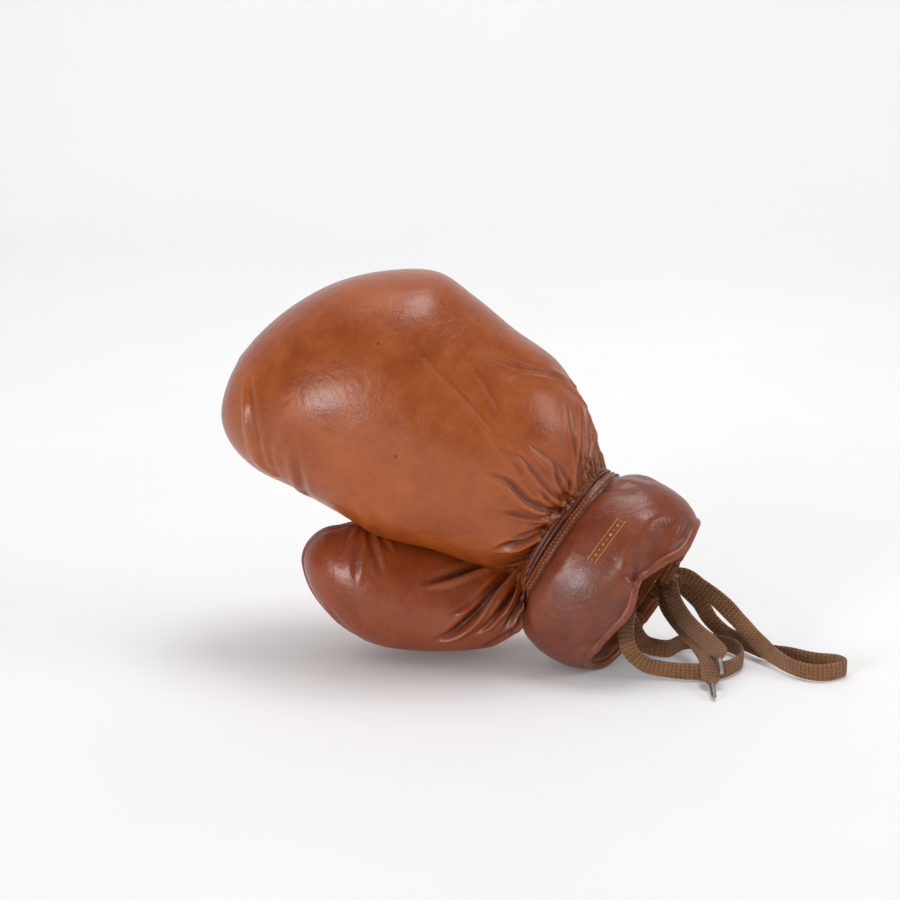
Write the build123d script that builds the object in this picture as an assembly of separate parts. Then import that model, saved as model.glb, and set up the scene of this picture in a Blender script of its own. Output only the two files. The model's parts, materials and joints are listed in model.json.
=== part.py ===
"""A laced leather boxing glove for the right hand, standing on its thumb and the corner of its cuff.

Row frame, in millimetres: +Z up, floor at Z = 0, origin in the middle of the flat that the thumb rests on.
The knuckles point to -X and up, the back of the hand faces -Y, and the mouth of the cuff opens to +X and down.

Each soft part is lofted through ovals across a local frame. In all three local frames x points to the thumb
side, y to the back of the hand and z towards the finger tips, so a negative z lies in the cuff.
"""

import math
import os

from build123d import *

# Materials' thicknesses
LEATHER = 1.6
LINING = 1.0
PLAY = 0.3  # air between two layers that are only laid against each other
CORD_RADIUS = 1.9  # a flat lace drawn as a round cord of about the same section

# Local frames
WRIST = Vector(73, -5, 70)
FIST_ALONG = Vector(-0.832, 0.060, 0.552)
FIST_BACK = Vector(0, -0.978, 0.208)
CUFF_ALONG = Vector(-0.80, 0.36, 0.48)
CUFF_BACK = Vector(-0.208, -0.917, 0.340)
THUMB_ROOT = Vector(50, -8, 42)
FIST = Plane(origin=WRIST, x_dir=FIST_BACK.cross(FIST_ALONG), z_dir=FIST_ALONG)
CUFF = Plane(origin=WRIST, x_dir=CUFF_BACK.cross(CUFF_ALONG), z_dir=CUFF_ALONG)
THUMB = Plane(origin=THUMB_ROOT, x_dir=(0, 0, -1), z_dir=(-1, 0, 0))

# Ovals of the outer skin: (z, centre x, half width, centre y, half depth)
WRIST_END = 3.6  # the fist's open end, level with the cuff's
FIST_MOUTH = (WRIST_END, -9, 38.5, 0, 33)
FIST_OVALS = [
    (22, -16.5, 49.5, 0, 43),
    (58, -20.5, 64.5, 0, 54),
    (88, -16.5, 70.5, -1, 59),
    (116, -17, 73, -3, 61),
    (142, -16, 74, -5, 60),
    (166, -7, 68, -7, 54),
    (186, 1.5, 55.5, -9, 43),
    (200, 9, 37, -11, 28),
    (207, 12, 16, -12, 13),
]
THUMB_OVALS = [
    (6, 8.5, 11.5, 0, 16),
    (12, 11.5, 18, -2, 22),
    (25, 14, 27.5, -4, 29),
    (40, 13, 31.5, -6, 32),
    (61, 10.5, 34.5, -8, 33),
    (81, 4, 34.5, -8, 32),
    (98, -4, 30.5, -8, 28),
    (110, -9, 24, -8, 22),
    (118, -12, 15, -8, 14),
    (122, -14, 6, -8, 6),
]
CUFF_OVALS = [
    (-4, -4.5, 45, 0, 33),
    (-10, -1.5, 50.5, 0, 37),
    (-24, -1.5, 56.5, 0, 40.5),
    (-42, -2.5, 57, 0, 41),
    (-60, -3.6, 52.4, 0, 36.5),
]
HAND_MOUTH = (WRIST_END, -9, 31, 0, 24)
HAND_OVALS = [(30, -15, 34, -2, 21), (90, -12, 40, -6, 19), (130, -10, 35, -12, 15)]
THUMB_POCKET_OVALS = [(9, 9.5, 7, -1, 9), (20, 11, 12, -3, 13), (60, 8, 14, -8, 13), (84, 3, 10, -8, 10)]

# Fist
FIST_SEAM_TILT = 10  # degrees: the back panel wraps over the knuckles, so the seam drops towards the palm
FIST_SEAM_Y = -16
PAD_SPLIT_Y = -22
GRIP_BAR_RADIUS = 8
GRIP_BAR_LENGTH = 64
GRIP_BAR_AT = (-12, -38, 108)
WELT_RADIUS = 1.5
THUMB_SEAM_Y = -7

# Cuff wall and lacing
CUFF_MOUTH_Z = -60
CUFF_WALL = 8.6
FLAP_CUT_Y = -10
SLIT_X = -8
SLIT_HALF = 6
STAY_WIDTH = 15  # unpadded strip beside the slit that carries the eyelets
EYELET_Z = [-13, -26, -39, -52]
EYELET_INSET = 7
EYELET_HOLE_RADIUS = 2.4
EYELET_BARREL_RADIUS = 2.9
EYELET_FLANGE_RADIUS = 4.3
EYELET_FLANGE = 0.6
TONGUE_HALF_WIDTH = 19
TONGUE_THICKNESS = 1.6
RIM_RADIUS = 2.2
RUNG_HEIGHTS = (4.4, 8.4)  # of the two layers of crossing lace above the eyelet stays

# Neck between fist and cuff
NECK_OVAL = (-7, 38, 0, 31)
NECK_HALF_LENGTH = 3.2
ROOT_GUSSET_OVALS = [(1.6, 3, 7, 0, 12), (5.6, 8, 10, 0, 15)]
WRIST_WELT_RADIUS = 1.6
STITCH_RADIUS = 0.5
STITCH_LENGTH = 3.4
STITCH_Z = -8
WRIST_STITCHES = 42

# Laces: knotted on the palm side just past the rim, with one loop coming out of the mouth
KNOT = Vector(139.5, 18, 38.4)
KNOT_RADIUS = 6.5
AGLET_RADIUS = 1.5
AGLET_LENGTH = 13
LONG_LOOP = [(148, 18.5, 43), (168, 9, 29.5), (188, -12, 12), (206, -41, 6), (220, -50, 5.8), (234, -42, 5.8),
             (226, -31, 5.8), (206, -20.5, 5.8), (186, -5, 5.8), (172, 13, 8), (157, 17, 26), (150, 19.5, 34)]
SHORT_LOOP = [(112, -14, 34), (112, -30, 31), (111, -39, 20), (122, -45, 8.5), (152, -49, 5.5), (176, -33, 5.5),
              (174, -3, 5.5), (148, 3, 5.5), (124, -8, 8.5), (116, -13, 20), (111, -9, 31)]
TAIL_A = [(140, 11, 30.5), (145, 0, 24), (152, -16, 19.5), (158.5, -30, 17), (163, -42, 15), (163, -50, 13)]
TAIL_B = [(138, 12, 26), (143, 3, 19.5), (150, -12, 15), (154.5, -28, 12.8), (156.5, -42, 11.8),
          (157.3, -52, 9.8), (157.5, -61, 5.5), (157.5, -68, 4.4)]


def placed(frame, ovals):
    """Ovals with the frame that each is drawn across."""
    return [(frame, *row) for row in ovals]


FIST_BODY = placed(CUFF, [FIST_MOUTH]) + placed(FIST, FIST_OVALS)
HAND_POCKET = placed(CUFF, [HAND_MOUTH]) + placed(FIST, HAND_OVALS)
THUMB_BODY = placed(THUMB, THUMB_OVALS)
THUMB_POCKET = placed(THUMB, THUMB_POCKET_OVALS)
CUFF_BODY = placed(CUFF, CUFF_OVALS)


def body(ovals, inset=0.0, blunt=False):
    """A solid lofted through the ovals, each drawn in by inset. A blunt body also stops short of its last oval."""
    sections = [(frame, z, x, half_x - inset, y, half_y - inset) for frame, z, x, half_x, y, half_y in ovals]
    if blunt:
        frame, z, *rest = sections[-1]
        sections[-1] = (frame, z - inset, *rest)
    return loft([frame * Pos(x, y, z) * Ellipse(half_x, half_y) for frame, z, x, half_x, y, half_y in sections])


def skin(ovals, outer, inner, blunt=False):
    """The layer between two insets of the same body."""
    return body(ovals, outer, blunt) - body(ovals, inner, blunt)


def slab(frame, x=(-200, 200), y=(-200, 200), z=(-300, 300)):
    """A box between limits in a local frame, for cutting."""
    size = [high - low for low, high in (x, y, z)]
    middle = [(high + low) / 2 for low, high in (x, y, z)]
    return frame * Pos(*middle) * Box(*size)


def above_floor(shape, gap=0.0):
    """Flattens a body where it rests on the floor, leaving gap for the layers outside it."""
    return shape & Pos(0, 0, 300 + gap) * Box(900, 900, 600)


def at(frame, x, y, z):
    """A point of a local frame in row coordinates."""
    return frame.from_local_coords(Vector(x, y, z))


def surface_frame(solid, x, y, z, toward):
    """A frame on the outside of a solid, with z out of it, where a ray in the cuff's frame leaves it."""
    start = at(CUFF, x, y, z)
    ray = Axis(start, at(CUFF, *toward) - at(CUFF, 0, 0, 0))
    hits = [(point, normal) for point, normal in solid.find_intersection_points(ray)]
    point, normal = max(hits, key=lambda hit: (hit[0] - start).dot(ray.direction))
    if normal.dot(ray.direction) < 0:
        normal = -normal
    return Plane(origin=point, x_dir=CUFF.z_dir - normal * CUFF.z_dir.dot(normal), z_dir=normal)


def rod(start, end, radius):
    """A straight round rod between two row points."""
    return Plane(origin=(start + end) / 2, z_dir=end - start) * Cylinder(radius, (end - start).length)


def cord(points, radius=CORD_RADIUS):
    """A round cord through row points."""
    path = Spline([Vector(*p) for p in points])
    start = Plane(origin=path @ 0, z_dir=path % 0)
    return sweep(start * Circle(radius), path=path)


def ring(z, x, half_x, y, half_y, radius):
    """A round tube along an oval of the cuff's frame."""
    path = (CUFF * Pos(x, y, z) * Ellipse(half_x, half_y)).edge()
    start = Plane(origin=path @ 0, z_dir=path % 0)
    return sweep(start * Circle(radius), path=path)


def fist_parts():
    """Two skins sewn along a welt, the padding in two halves, the grip bar and the lining bag."""
    seam = FIST * Pos(0, FIST_SEAM_Y, 0) * Rot(FIST_SEAM_TILT, 0, 0)
    gap = WELT_RADIUS + PLAY
    shell = skin(FIST_BODY, 0, LEATHER, blunt=True)
    over, under = (seam * Pos(0, side * (200 + gap), 100) * Box(400, 400, 600) for side in (1, -1))
    band = seam * Pos(0, 0, 110) * Box(400, 2 * WELT_RADIUS, 600)
    pad = body(FIST_BODY, LEATHER + PLAY, blunt=True) - body(HAND_POCKET, -PLAY)
    bar_at = FIST * Pos(*GRIP_BAR_AT) * Rot(0, 90, 0)
    palm_pad = pad & slab(FIST, y=(-200, PAD_SPLIT_Y - PLAY))
    return {
        "back_panel": shell & over,
        "palm_panel": shell & under,
        "fist_seam_welt": shell & band,
        "knuckle_pad": pad & slab(FIST, y=(PAD_SPLIT_Y, 200)),
        "palm_pad": palm_pad - bar_at * Cylinder(GRIP_BAR_RADIUS + PLAY, GRIP_BAR_LENGTH + 2 * PLAY),
        "grip_bar": bar_at * Cylinder(GRIP_BAR_RADIUS, GRIP_BAR_LENGTH),
        "hand_lining": skin(HAND_POCKET, 0, LINING, blunt=True),
    }


def thumb_parts():
    """Two skins sewn along a welt, the padding and the lining bag, flattened where the glove rests."""
    pad_inset = LEATHER + PLAY
    gap = WELT_RADIUS + PLAY
    outer = above_floor(body(THUMB_BODY, 0, blunt=True))
    shell = outer - above_floor(body(THUMB_BODY, LEATHER, blunt=True), LEATHER)
    pad = above_floor(body(THUMB_BODY, pad_inset, blunt=True), pad_inset)
    return {
        "thumb_outer_panel": shell & slab(THUMB, y=(THUMB_SEAM_Y + gap, 200)),
        "thumb_inner_panel": shell & slab(THUMB, y=(-200, THUMB_SEAM_Y - gap)),
        "thumb_seam_welt": shell & slab(THUMB, y=(THUMB_SEAM_Y - WELT_RADIUS, THUMB_SEAM_Y + WELT_RADIUS)),
        "thumb_pad": pad - body(THUMB_POCKET, -PLAY),
        "thumb_lining": skin(THUMB_POCKET, 0, LINING, blunt=True),
        "thumb_root_gusset": skin(placed(THUMB, ROOT_GUSSET_OVALS), 0, LEATHER),
    }


def cuff_sectors():
    """The cuff's three sectors: its name, its cutting box, and the slit edge and side of a flap."""
    half_play = PLAY / 2
    thumb_edge, little_edge = SLIT_X + SLIT_HALF, SLIT_X - SLIT_HALF
    palm_side = (-200, FLAP_CUT_Y - half_play)
    return [
        ("cuff_back", slab(CUFF, y=(FLAP_CUT_Y + half_play, 200)), None),
        ("thumb_flap", slab(CUFF, x=(thumb_edge, 200), y=palm_side), (thumb_edge, 1)),
        ("little_flap", slab(CUFF, x=(-200, little_edge), y=palm_side), (little_edge, -1)),
    ]


def eyelet_frames(stay_body, edge, side):
    """Frames on the outside of the eyelet stay, one for each eyelet, with z out of the leather."""
    x = edge + side * EYELET_INSET
    return [surface_frame(stay_body, x, 0, z, (0, -1, 0)) for z in EYELET_Z]


def eyelet(frame):
    """A tube through stay, leather and lining with a flange on its outside."""
    lift = 0.3  # the leather curves, so the flange stands on its high point
    depth = LEATHER + CUFF_WALL - 5
    flange = frame * Pos(0, 0, lift + EYELET_FLANGE / 2) * Cylinder(EYELET_FLANGE_RADIUS, EYELET_FLANGE)
    barrel = frame * Pos(0, 0, lift - depth / 2) * Cylinder(EYELET_BARREL_RADIUS, depth)
    return flange + barrel - frame * Cylinder(EYELET_HOLE_RADIUS, 40)


def cuff_parts():
    """Three padded sectors with their bindings, and the eyelet stays, eyelets and wrist stitches on them."""
    layers = {
        "leather": skin(CUFF_BODY, 0, LEATHER),
        "pad": skin(CUFF_BODY, LEATHER + PLAY, CUFF_WALL - LINING - PLAY),
        "lining": skin(CUFF_BODY, CUFF_WALL - LINING, CUFF_WALL),
    }
    stay_body = body(CUFF_BODY, -LEATHER - PLAY)
    stay_layer = stay_body - body(CUFF_BODY, -PLAY)
    _, x, half_x, y, half_y = CUFF_OVALS[-1]
    middle_of_wall = (x, half_x - CUFF_WALL / 2, y, half_y - CUFF_WALL / 2)
    rim = ring(CUFF_MOUTH_Z - RIM_RADIUS - PLAY, *middle_of_wall, RIM_RADIUS)
    stitches = wrist_stitches()
    parts = {}
    for name, sector, lacing in cuff_sectors():
        pieces = {layer: shape & sector for layer, shape in layers.items()}
        pieces["rim_binding"] = rim & sector
        pieces["stitches"] = [stitch for stitch in stitches if (stitch & sector).volume > stitch.volume * 0.99]
        if lacing:
            edge, side = lacing
            frames = eyelet_frames(stay_body, edge, side)
            stay = slab(CUFF, x=sorted((edge, edge + side * STAY_WIDTH)), y=(-200, 0), z=(-58, -10.5))
            pieces["pad"] -= slab(CUFF, x=sorted((edge - side, edge + side * STAY_WIDTH)), y=(-200, 0))
            pieces["eyelet_stay"] = stay_layer & stay
            pieces["eyelets"] = [eyelet(frame) for frame in frames]
            for frame in frames:
                hole = frame * Cylinder(EYELET_BARREL_RADIUS + 0.1, 40)
                for layer in ("leather", "lining", "eyelet_stay"):
                    pieces[layer] -= hole
        parts.update({f"{name}_{layer}": shape for layer, shape in pieces.items()})
    return parts


def tongue():
    """The lined flap of leather under the slit."""
    top = CUFF_WALL + PLAY
    width = (SLIT_X - TONGUE_HALF_WIDTH, SLIT_X + TONGUE_HALF_WIDTH)
    return skin(CUFF_BODY, top, top + TONGUE_THICKNESS) & slab(CUFF, x=width, y=(-200, 0), z=(-56, 0))


def wrist_stitches():
    """Short stitches round the cuff, just below the welt."""
    thread_body = body(CUFF_BODY, -STITCH_RADIUS - PLAY)
    _, x, _, y, _ = CUFF_OVALS[0]
    stitches = []
    for i in range(WRIST_STITCHES):
        angle = 2 * math.pi * (i + 0.5) / WRIST_STITCHES
        frame = surface_frame(thread_body, x, y, STITCH_Z, (math.cos(angle), math.sin(angle), 0))
        stitches.append(frame * Rot(0, 90, 0) * Cylinder(STITCH_RADIUS, STITCH_LENGTH))
    return stitches


def wrist_parts():
    """The leather neck between fist and cuff, and the welt sewn round it."""
    ends = [(side * NECK_HALF_LENGTH, *NECK_OVAL) for side in (1, -1)]
    x, half_x, y, half_y = NECK_OVAL
    outset = WRIST_WELT_RADIUS + PLAY
    return {
        "wrist_neck": skin(placed(CUFF, ends), 0, LEATHER),
        "wrist_welt": ring(0, x, half_x + outset, y, half_y + outset, WRIST_WELT_RADIUS),
    }


def lace_rungs():
    """The laced part of the lace: a bar at the wrist, crosses between the eyelets, and two runs to the knot."""
    stay_body = body(CUFF_BODY, -LEATHER - PLAY)
    thumb_side = eyelet_frames(stay_body, SLIT_X + SLIT_HALF, 1)
    little_side = eyelet_frames(stay_body, SLIT_X - SLIT_HALF, -1)
    low, high = RUNG_HEIGHTS
    runs = [(thumb_side[0], little_side[0], low)]
    for i in range(len(EYELET_Z) - 1):
        runs.append((thumb_side[i], little_side[i + 1], low))
        runs.append((little_side[i], thumb_side[i + 1], high))
    bars = [rod(at(a, 0, 0, height), at(b, 0, 0, height), CORD_RADIUS) for a, b, height in runs]
    for frame, height in ((thumb_side[-1], high), (little_side[-1], low)):
        start = at(frame, 0, 0, height)
        toward = (KNOT - start).normalized()
        bars.append(rod(start, KNOT - toward * (KNOT_RADIUS + PLAY), CORD_RADIUS))
    plug_low, plug_high = -2.5, high - CORD_RADIUS + 0.5
    for frame in thumb_side + little_side:
        bars.append(rod(at(frame, 0, 0, plug_low), at(frame, 0, 0, plug_high), CORD_RADIUS))
    return bars[0].fuse(*bars[1:])


def aglet(lace):
    """The tip crimped on the end of a tail, following the tail's last direction."""
    end, before = Vector(*lace[-1]), Vector(*lace[-2])
    along = (end - before).normalized()
    return rod(end + along * PLAY, end + along * (PLAY + AGLET_LENGTH), AGLET_RADIUS)


def lace_parts():
    """One lace in the parts that move alone: rungs, knot, two loops, and two tails with tips."""
    return {
        "lace_rungs": lace_rungs(),
        "lace_knot": Pos(*KNOT) * Sphere(KNOT_RADIUS),
        "lace_long_loop": cord(LONG_LOOP),
        "lace_short_loop": cord(SHORT_LOOP),
        "lace_tail_a": cord(TAIL_A),
        "lace_tail_b": cord(TAIL_B),
        "aglet_a": aglet(TAIL_A),
        "aglet_b": aglet(TAIL_B),
    }


def write(parts):
    """One STEP for each node."""
    os.makedirs("parts", exist_ok=True)
    for name, shape in parts.items():
        solids = shape if isinstance(shape, list) else list(shape.solids())
        export_step(solids[0] if len(solids) == 1 else Compound(children=solids), f"parts/{name}.step")


write(fist_parts() | thumb_parts() | cuff_parts() | {"tongue": tongue()} | wrist_parts() | lace_parts())
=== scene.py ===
import json
import math
from functools import partial

import bmesh
import bpy
import numpy as np
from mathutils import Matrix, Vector


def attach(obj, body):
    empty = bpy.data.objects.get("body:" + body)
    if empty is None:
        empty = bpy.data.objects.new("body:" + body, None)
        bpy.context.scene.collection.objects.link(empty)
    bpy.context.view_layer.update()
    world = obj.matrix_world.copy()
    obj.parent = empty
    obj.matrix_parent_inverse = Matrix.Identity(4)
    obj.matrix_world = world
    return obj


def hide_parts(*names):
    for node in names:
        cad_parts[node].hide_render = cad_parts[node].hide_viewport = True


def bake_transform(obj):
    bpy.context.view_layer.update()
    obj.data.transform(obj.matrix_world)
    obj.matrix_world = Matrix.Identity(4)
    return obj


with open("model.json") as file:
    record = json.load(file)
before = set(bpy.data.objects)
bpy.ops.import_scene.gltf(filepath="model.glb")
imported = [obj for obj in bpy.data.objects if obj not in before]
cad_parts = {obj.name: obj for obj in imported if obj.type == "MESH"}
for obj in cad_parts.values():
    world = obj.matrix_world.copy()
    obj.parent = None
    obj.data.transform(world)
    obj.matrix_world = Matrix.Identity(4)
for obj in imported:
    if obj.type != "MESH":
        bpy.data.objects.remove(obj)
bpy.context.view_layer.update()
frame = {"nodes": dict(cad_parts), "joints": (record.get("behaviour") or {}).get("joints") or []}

# Lengths are in millimetres in the row frame until a mesh is made.
MM = 0.001
SEED = 7


# ---------------------------------------------------------------- local frames

def unit(v):
    v = np.asarray(v, float)
    return v / np.maximum(np.linalg.norm(v, axis=-1, keepdims=True), 1e-12)


def joint(name):
    return next(j for j in frame["joints"] if j["name"] == name)


def joint_point(name):
    return np.array(joint(name)["pos_m"]) / MM


class Local:
    """A frame with x to the thumb side, y to the back of the hand and z to the finger tips."""

    def __init__(self, origin, x, y, z):
        self.origin, self.x, self.y, self.z = (np.asarray(v, float) for v in (origin, x, y, z))

    def at(self, x, y, z):
        x, y, z = np.broadcast_arrays(x, y, z)
        return self.origin + x[..., None] * self.x + y[..., None] * self.y + z[..., None] * self.z

    def read(self, points):
        offset = np.asarray(points, float) - self.origin
        return offset @ self.x, offset @ self.y, offset @ self.z


def framed(origin, along, back):
    z = unit(along)
    x = unit(np.cross(back, z))
    return Local(origin, x, np.cross(z, x), z)


WRIST = joint_point("wrist_bend")
CUFF_X, CUFF_Z = unit(joint("wrist_bend")["axis"]), unit(joint("thumb_side_flap_open")["axis"])
CUFF = Local(WRIST, CUFF_X, np.cross(CUFF_Z, CUFF_X), CUFF_Z)
FIST = framed(WRIST, (-0.832, 0.060, 0.552), (0, -0.978, 0.208))
THUMB = Local(joint_point("thumb_swing"), (0, 0, -1), (0, -1, 0), (-1, 0, 0))


# ---------------------------------------------------------------- the soft shapes, as ovals

# Each row: (z, centre x, half width, centre y, half depth) in a local frame.
FIST_MOUTH = [(-5, -19, 25, 0, 28), (0.5, -18, 30, 0, 32.5)]
FIST_OVALS = [
    (22, -16.5, 49.5, 0, 43), (58, -20.5, 64.5, 0, 54), (88, -16.5, 70.5, -1, 59), (116, -17, 73, -3, 61),
    (142, -16, 74, -5, 60), (166, -7, 68, -7, 54), (186, 1.5, 55.5, -9, 43), (200, 9, 37, -11, 28),
    (207, 12, 16, -12, 13), (209, 12.5, 1, -12, 1),
]
THUMB_MOUTH = [(-6, 20, 12, 0, 22), (0, 19, 16, 0, 27)]
THUMB_ROOT = [((51, -9, 37), (-1, 0, -19), (0, -23, 0)), ((40, -7, 31), (0, 0, -22), (0, -27, 0))]
THUMB_OVALS = [
    (25, 14, 27.5, -4, 29), (40, 13, 31.5, -6, 32), (61, 10.5, 34.5, -8, 33), (81, 4, 34.5, -8, 32),
    (98, -4, 30.5, -8, 28), (110, -9, 24, -8, 22), (118, -12, 15, -8, 14), (122, -14, 6, -8, 6),
    (123, -14.5, 1, -8, 1),
]
CUFF_OVALS = [
    (3, -7, 40, 0, 31), (-4, -4.5, 45, 0, 33), (-10, -1.5, 50.5, 0, 37), (-24, -1.5, 56.5, 0, 40.5),
    (-42, -2.5, 57, 0, 41), (-60, -3.6, 52.4, 0, 36.5), (-72, -4.4, 47, 0, 33),
]


def oval(local, z, x, half_x, y, half_y):
    """A section as nine numbers: its centre and its two half axes."""
    return np.concatenate([local.at(x, y, z), half_x * local.x, half_y * local.y])


def hermite(rows, knots, at):
    """Rows of numbers given at knots, read smoothly at other places."""
    rows, knots, at = (np.asarray(v, float) for v in (rows, knots, at))
    slopes = np.gradient(rows, knots, axis=0)
    i = np.clip(np.searchsorted(knots, at, side="right") - 1, 0, len(knots) - 2)
    span = knots[i + 1] - knots[i]
    t = (at - knots[i]) / span
    t, span = (v.reshape(v.shape + (1,) * (rows.ndim - 1)) for v in (t, span))
    return (rows[i] * (2 * t**3 - 3 * t**2 + 1) + slopes[i] * span * (t**3 - 2 * t**2 + t)
            + rows[i + 1] * (3 * t**2 - 2 * t**3) + slopes[i + 1] * span * (t**3 - t**2))


def along(rows, count):
    """Rows of numbers read smoothly at count places, evenly by how much the rows change."""
    rows = np.asarray(rows, float)
    knots = np.concatenate([[0], np.cumsum(np.linalg.norm(np.diff(rows, axis=0), axis=1))])
    return hermite(rows, knots, np.linspace(0, knots[-1], count))


def loft(sections, rings, around):
    """A grid of points, one ring of points for each section."""
    rows = along(sections, rings)
    angle = np.linspace(0, 2 * math.pi, around, endpoint=False)
    centre, a, b = rows[:, None, :3], rows[:, None, 3:6], rows[:, None, 6:]
    return centre + a * np.cos(angle)[None, :, None] + b * np.sin(angle)[None, :, None]


def soft_floor(points, height=0.6, radius=5.0):
    """Presses points onto the floor with a soft edge to the flat."""
    z = (points[..., 2] - height) / radius
    clear = 4
    out = points.copy()
    out[..., 2] = height + radius * np.where(z > clear, z, np.log1p(np.exp(np.minimum(z, clear))))
    return out


def closed_normals(grid):
    """Outward normals of a grid that closes on itself round its second axis."""
    down = np.gradient(grid, axis=0)
    round_ = np.roll(grid, -1, axis=1) - np.roll(grid, 1, axis=1)
    normals = unit(np.cross(down, round_))
    outward = np.sum(normals * (grid - grid.mean(axis=1, keepdims=True)), axis=-1).mean()
    return normals if outward > 0 else -normals


def resized(values, shape):
    """A grid closed round its second axis, read smoothly at another size."""
    rows = hermite(values, np.arange(values.shape[0]), np.linspace(0, values.shape[0] - 1, shape[0]))
    rolled = np.swapaxes(rows, 0, 1)
    padded = np.concatenate([rolled[-2:], rolled, rolled[:3]])
    places = np.arange(shape[1]) * values.shape[1] / shape[1]
    return np.swapaxes(hermite(padded, np.arange(len(padded)) - 2.0, places), 0, 1)


def smoothstep(x):
    x = np.clip(x, 0, 1)
    return x * x * (3 - 2 * x)


# ---------------------------------------------------------------- folds in the leather

class Line:
    """A line on a surface, as even points with directions."""

    def __init__(self, points):
        points = np.asarray(points, float)
        length = np.linalg.norm(np.diff(points, axis=0), axis=1).sum()
        self.points = along(points, max(4, int(length)))
        self.tangents = unit(np.gradient(self.points, axis=0))

    def near(self, points, reach):
        """Which points are within reach, and for each its distance, share along, nearest place and offset."""
        low, high = self.points.min(0) - reach, self.points.max(0) + reach
        chosen = np.flatnonzero(np.all((points > low) & (points < high), axis=1))
        offset = points[chosen, None, :] - self.points[None, :, :]
        distance = np.linalg.norm(offset, axis=2)
        nearest = distance.argmin(axis=1)
        rows = np.arange(len(chosen))
        share = nearest / (len(self.points) - 1)
        return chosen, distance[rows, nearest], share, nearest, offset[rows, nearest]


FADE_IN, ONE_SIDED = 0.35, 0.6


def fold(height, shade, points, normals, line, width, depth, ridge, fade_end=0.0):
    """Presses a fold into a surface: a valley of that width and depth, with a ridge beside it, and painted
    shade along the valley.
    """
    line = Line(line)
    chosen, distance, share, nearest, offset = line.near(points, width * 5)
    if not len(chosen):
        return
    taper = smoothstep(share / FADE_IN)
    if fade_end:
        taper = taper * smoothstep((1 - share) / fade_end)
    across = np.cross(line.tangents[nearest], normals[chosen])
    signed = np.sum(across * offset, axis=1)
    s = distance / (width * (0.55 + 0.45 * taper))
    valley = np.exp(-s**2)
    bank = np.exp(-((s - 2.0) / 0.85)**2) * (1 + ONE_SIDED * np.tanh(signed / width))
    height[chosen] += taper * (-depth * valley + ridge * depth * bank)
    # Painted shade: the valley's colour is darkened through the shade field, most for deep narrow folds
    dark = min(1.0, depth / 2.5) * min(1.0, 2.2 / width)**1.5
    shade[chosen] = np.maximum(shade[chosen], taper * np.exp(-(s / 0.75)**2) * dark)


def press(surface, folds, place):
    """Presses a table of folds into a surface. place turns the places in the table into points."""
    for places, *shape in folds:
        fold(*surface, place(places), *shape)


def swell(height, points, centre, radius, rise):
    """A soft rise or hollow round a point."""
    height += rise * np.exp(-np.sum((points - centre)**2, axis=1) / radius**2)


def waves(x, y, seed, octaves=3):
    """Smooth repeatable noise about -1 to 1 from sums of sines."""
    rng = np.random.default_rng(seed)
    total = np.zeros(np.broadcast(x, y).shape)
    for octave in range(octaves):
        for _ in range(4):
            angle, phase = rng.uniform(0, 2 * math.pi, 2)
            rate = 2.0**octave * rng.uniform(0.7, 1.3)
            total += np.sin((x * math.cos(angle) + y * math.sin(angle)) * rate + phase) / 1.7**octave
    return total / 4


# ---------------------------------------------------------------- cloth simulation

CLOTH_FRAMES = 22
CLOTH_SETTINGS = {
    "quality": 6, "mass": 0.25, "tension_stiffness": 25, "compression_stiffness": 25, "shear_stiffness": 12,
    "bending_stiffness": 0.8, "tension_damping": 12, "compression_damping": 12, "shear_damping": 12,
    "use_pressure": True, "uniform_pressure_force": 2.0, "vertex_group_mass": "hold", "pin_stiffness": 1,
}


def cloth_object(grid, looseness, hold):
    """A mesh over a grid with a Cloth modifier, a shape key for its cut and a vertex group for its pins."""
    obj = bpy.data.objects.new("cloth_work", grid_mesh("cloth_work", grid, wrap=True))
    bpy.context.scene.collection.objects.link(obj)
    centre = grid.mean(axis=1, keepdims=True)
    cut = (centre + (grid - centre) * looseness) * MM
    obj.shape_key_add(name="Basis")
    key = obj.shape_key_add(name="Cut")
    key.data.foreach_set("co", cut.astype(np.float32).ravel())
    group = obj.vertex_groups.new(name="hold")
    for index, weight in enumerate(hold.ravel()):
        if weight > 0:
            group.add([index], float(weight), "REPLACE")
    cloth = obj.modifiers.new("Cloth", "CLOTH")
    for name, value in CLOTH_SETTINGS.items():
        setattr(cloth.settings, name, value)
    cloth.settings.effector_weights.gravity = 0
    cloth.settings.rest_shape_key = key
    cloth.collision_settings.use_collision = False
    cloth.point_cache.frame_end = CLOTH_FRAMES
    return obj


def settle(grid, looseness, hold, cap=6.0):
    """Lets a grid of leather swell and buckle as cloth, and returns how far each point moved.

    looseness is how much larger than its place each point's leather is cut. hold pins points, from 0 to 1.
    No point moves further than cap.
    """
    obj = cloth_object(grid, looseness, hold)
    scene = bpy.context.scene
    for number in range(1, CLOTH_FRAMES + 1):
        scene.frame_set(number)
    settled = obj.evaluated_get(bpy.context.evaluated_depsgraph_get())
    co = np.zeros(grid.size, np.float32)
    settled.data.vertices.foreach_get("co", co)
    bpy.data.objects.remove(obj)
    scene.frame_set(1)
    moved = co.reshape(grid.shape) / MM - grid
    length = np.linalg.norm(moved, axis=-1, keepdims=True)
    return moved * np.minimum(1, cap / np.maximum(length, 1e-6))


# ---------------------------------------------------------------- meshes

def smooth_mesh(name, points, faces):
    """A smooth-shaded mesh, with its points in metres."""
    mesh = bpy.data.meshes.new(name)
    mesh.from_pydata(points.tolist(), [], faces)
    mesh.polygons.foreach_set("use_smooth", [True] * len(mesh.polygons))
    return mesh


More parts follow.
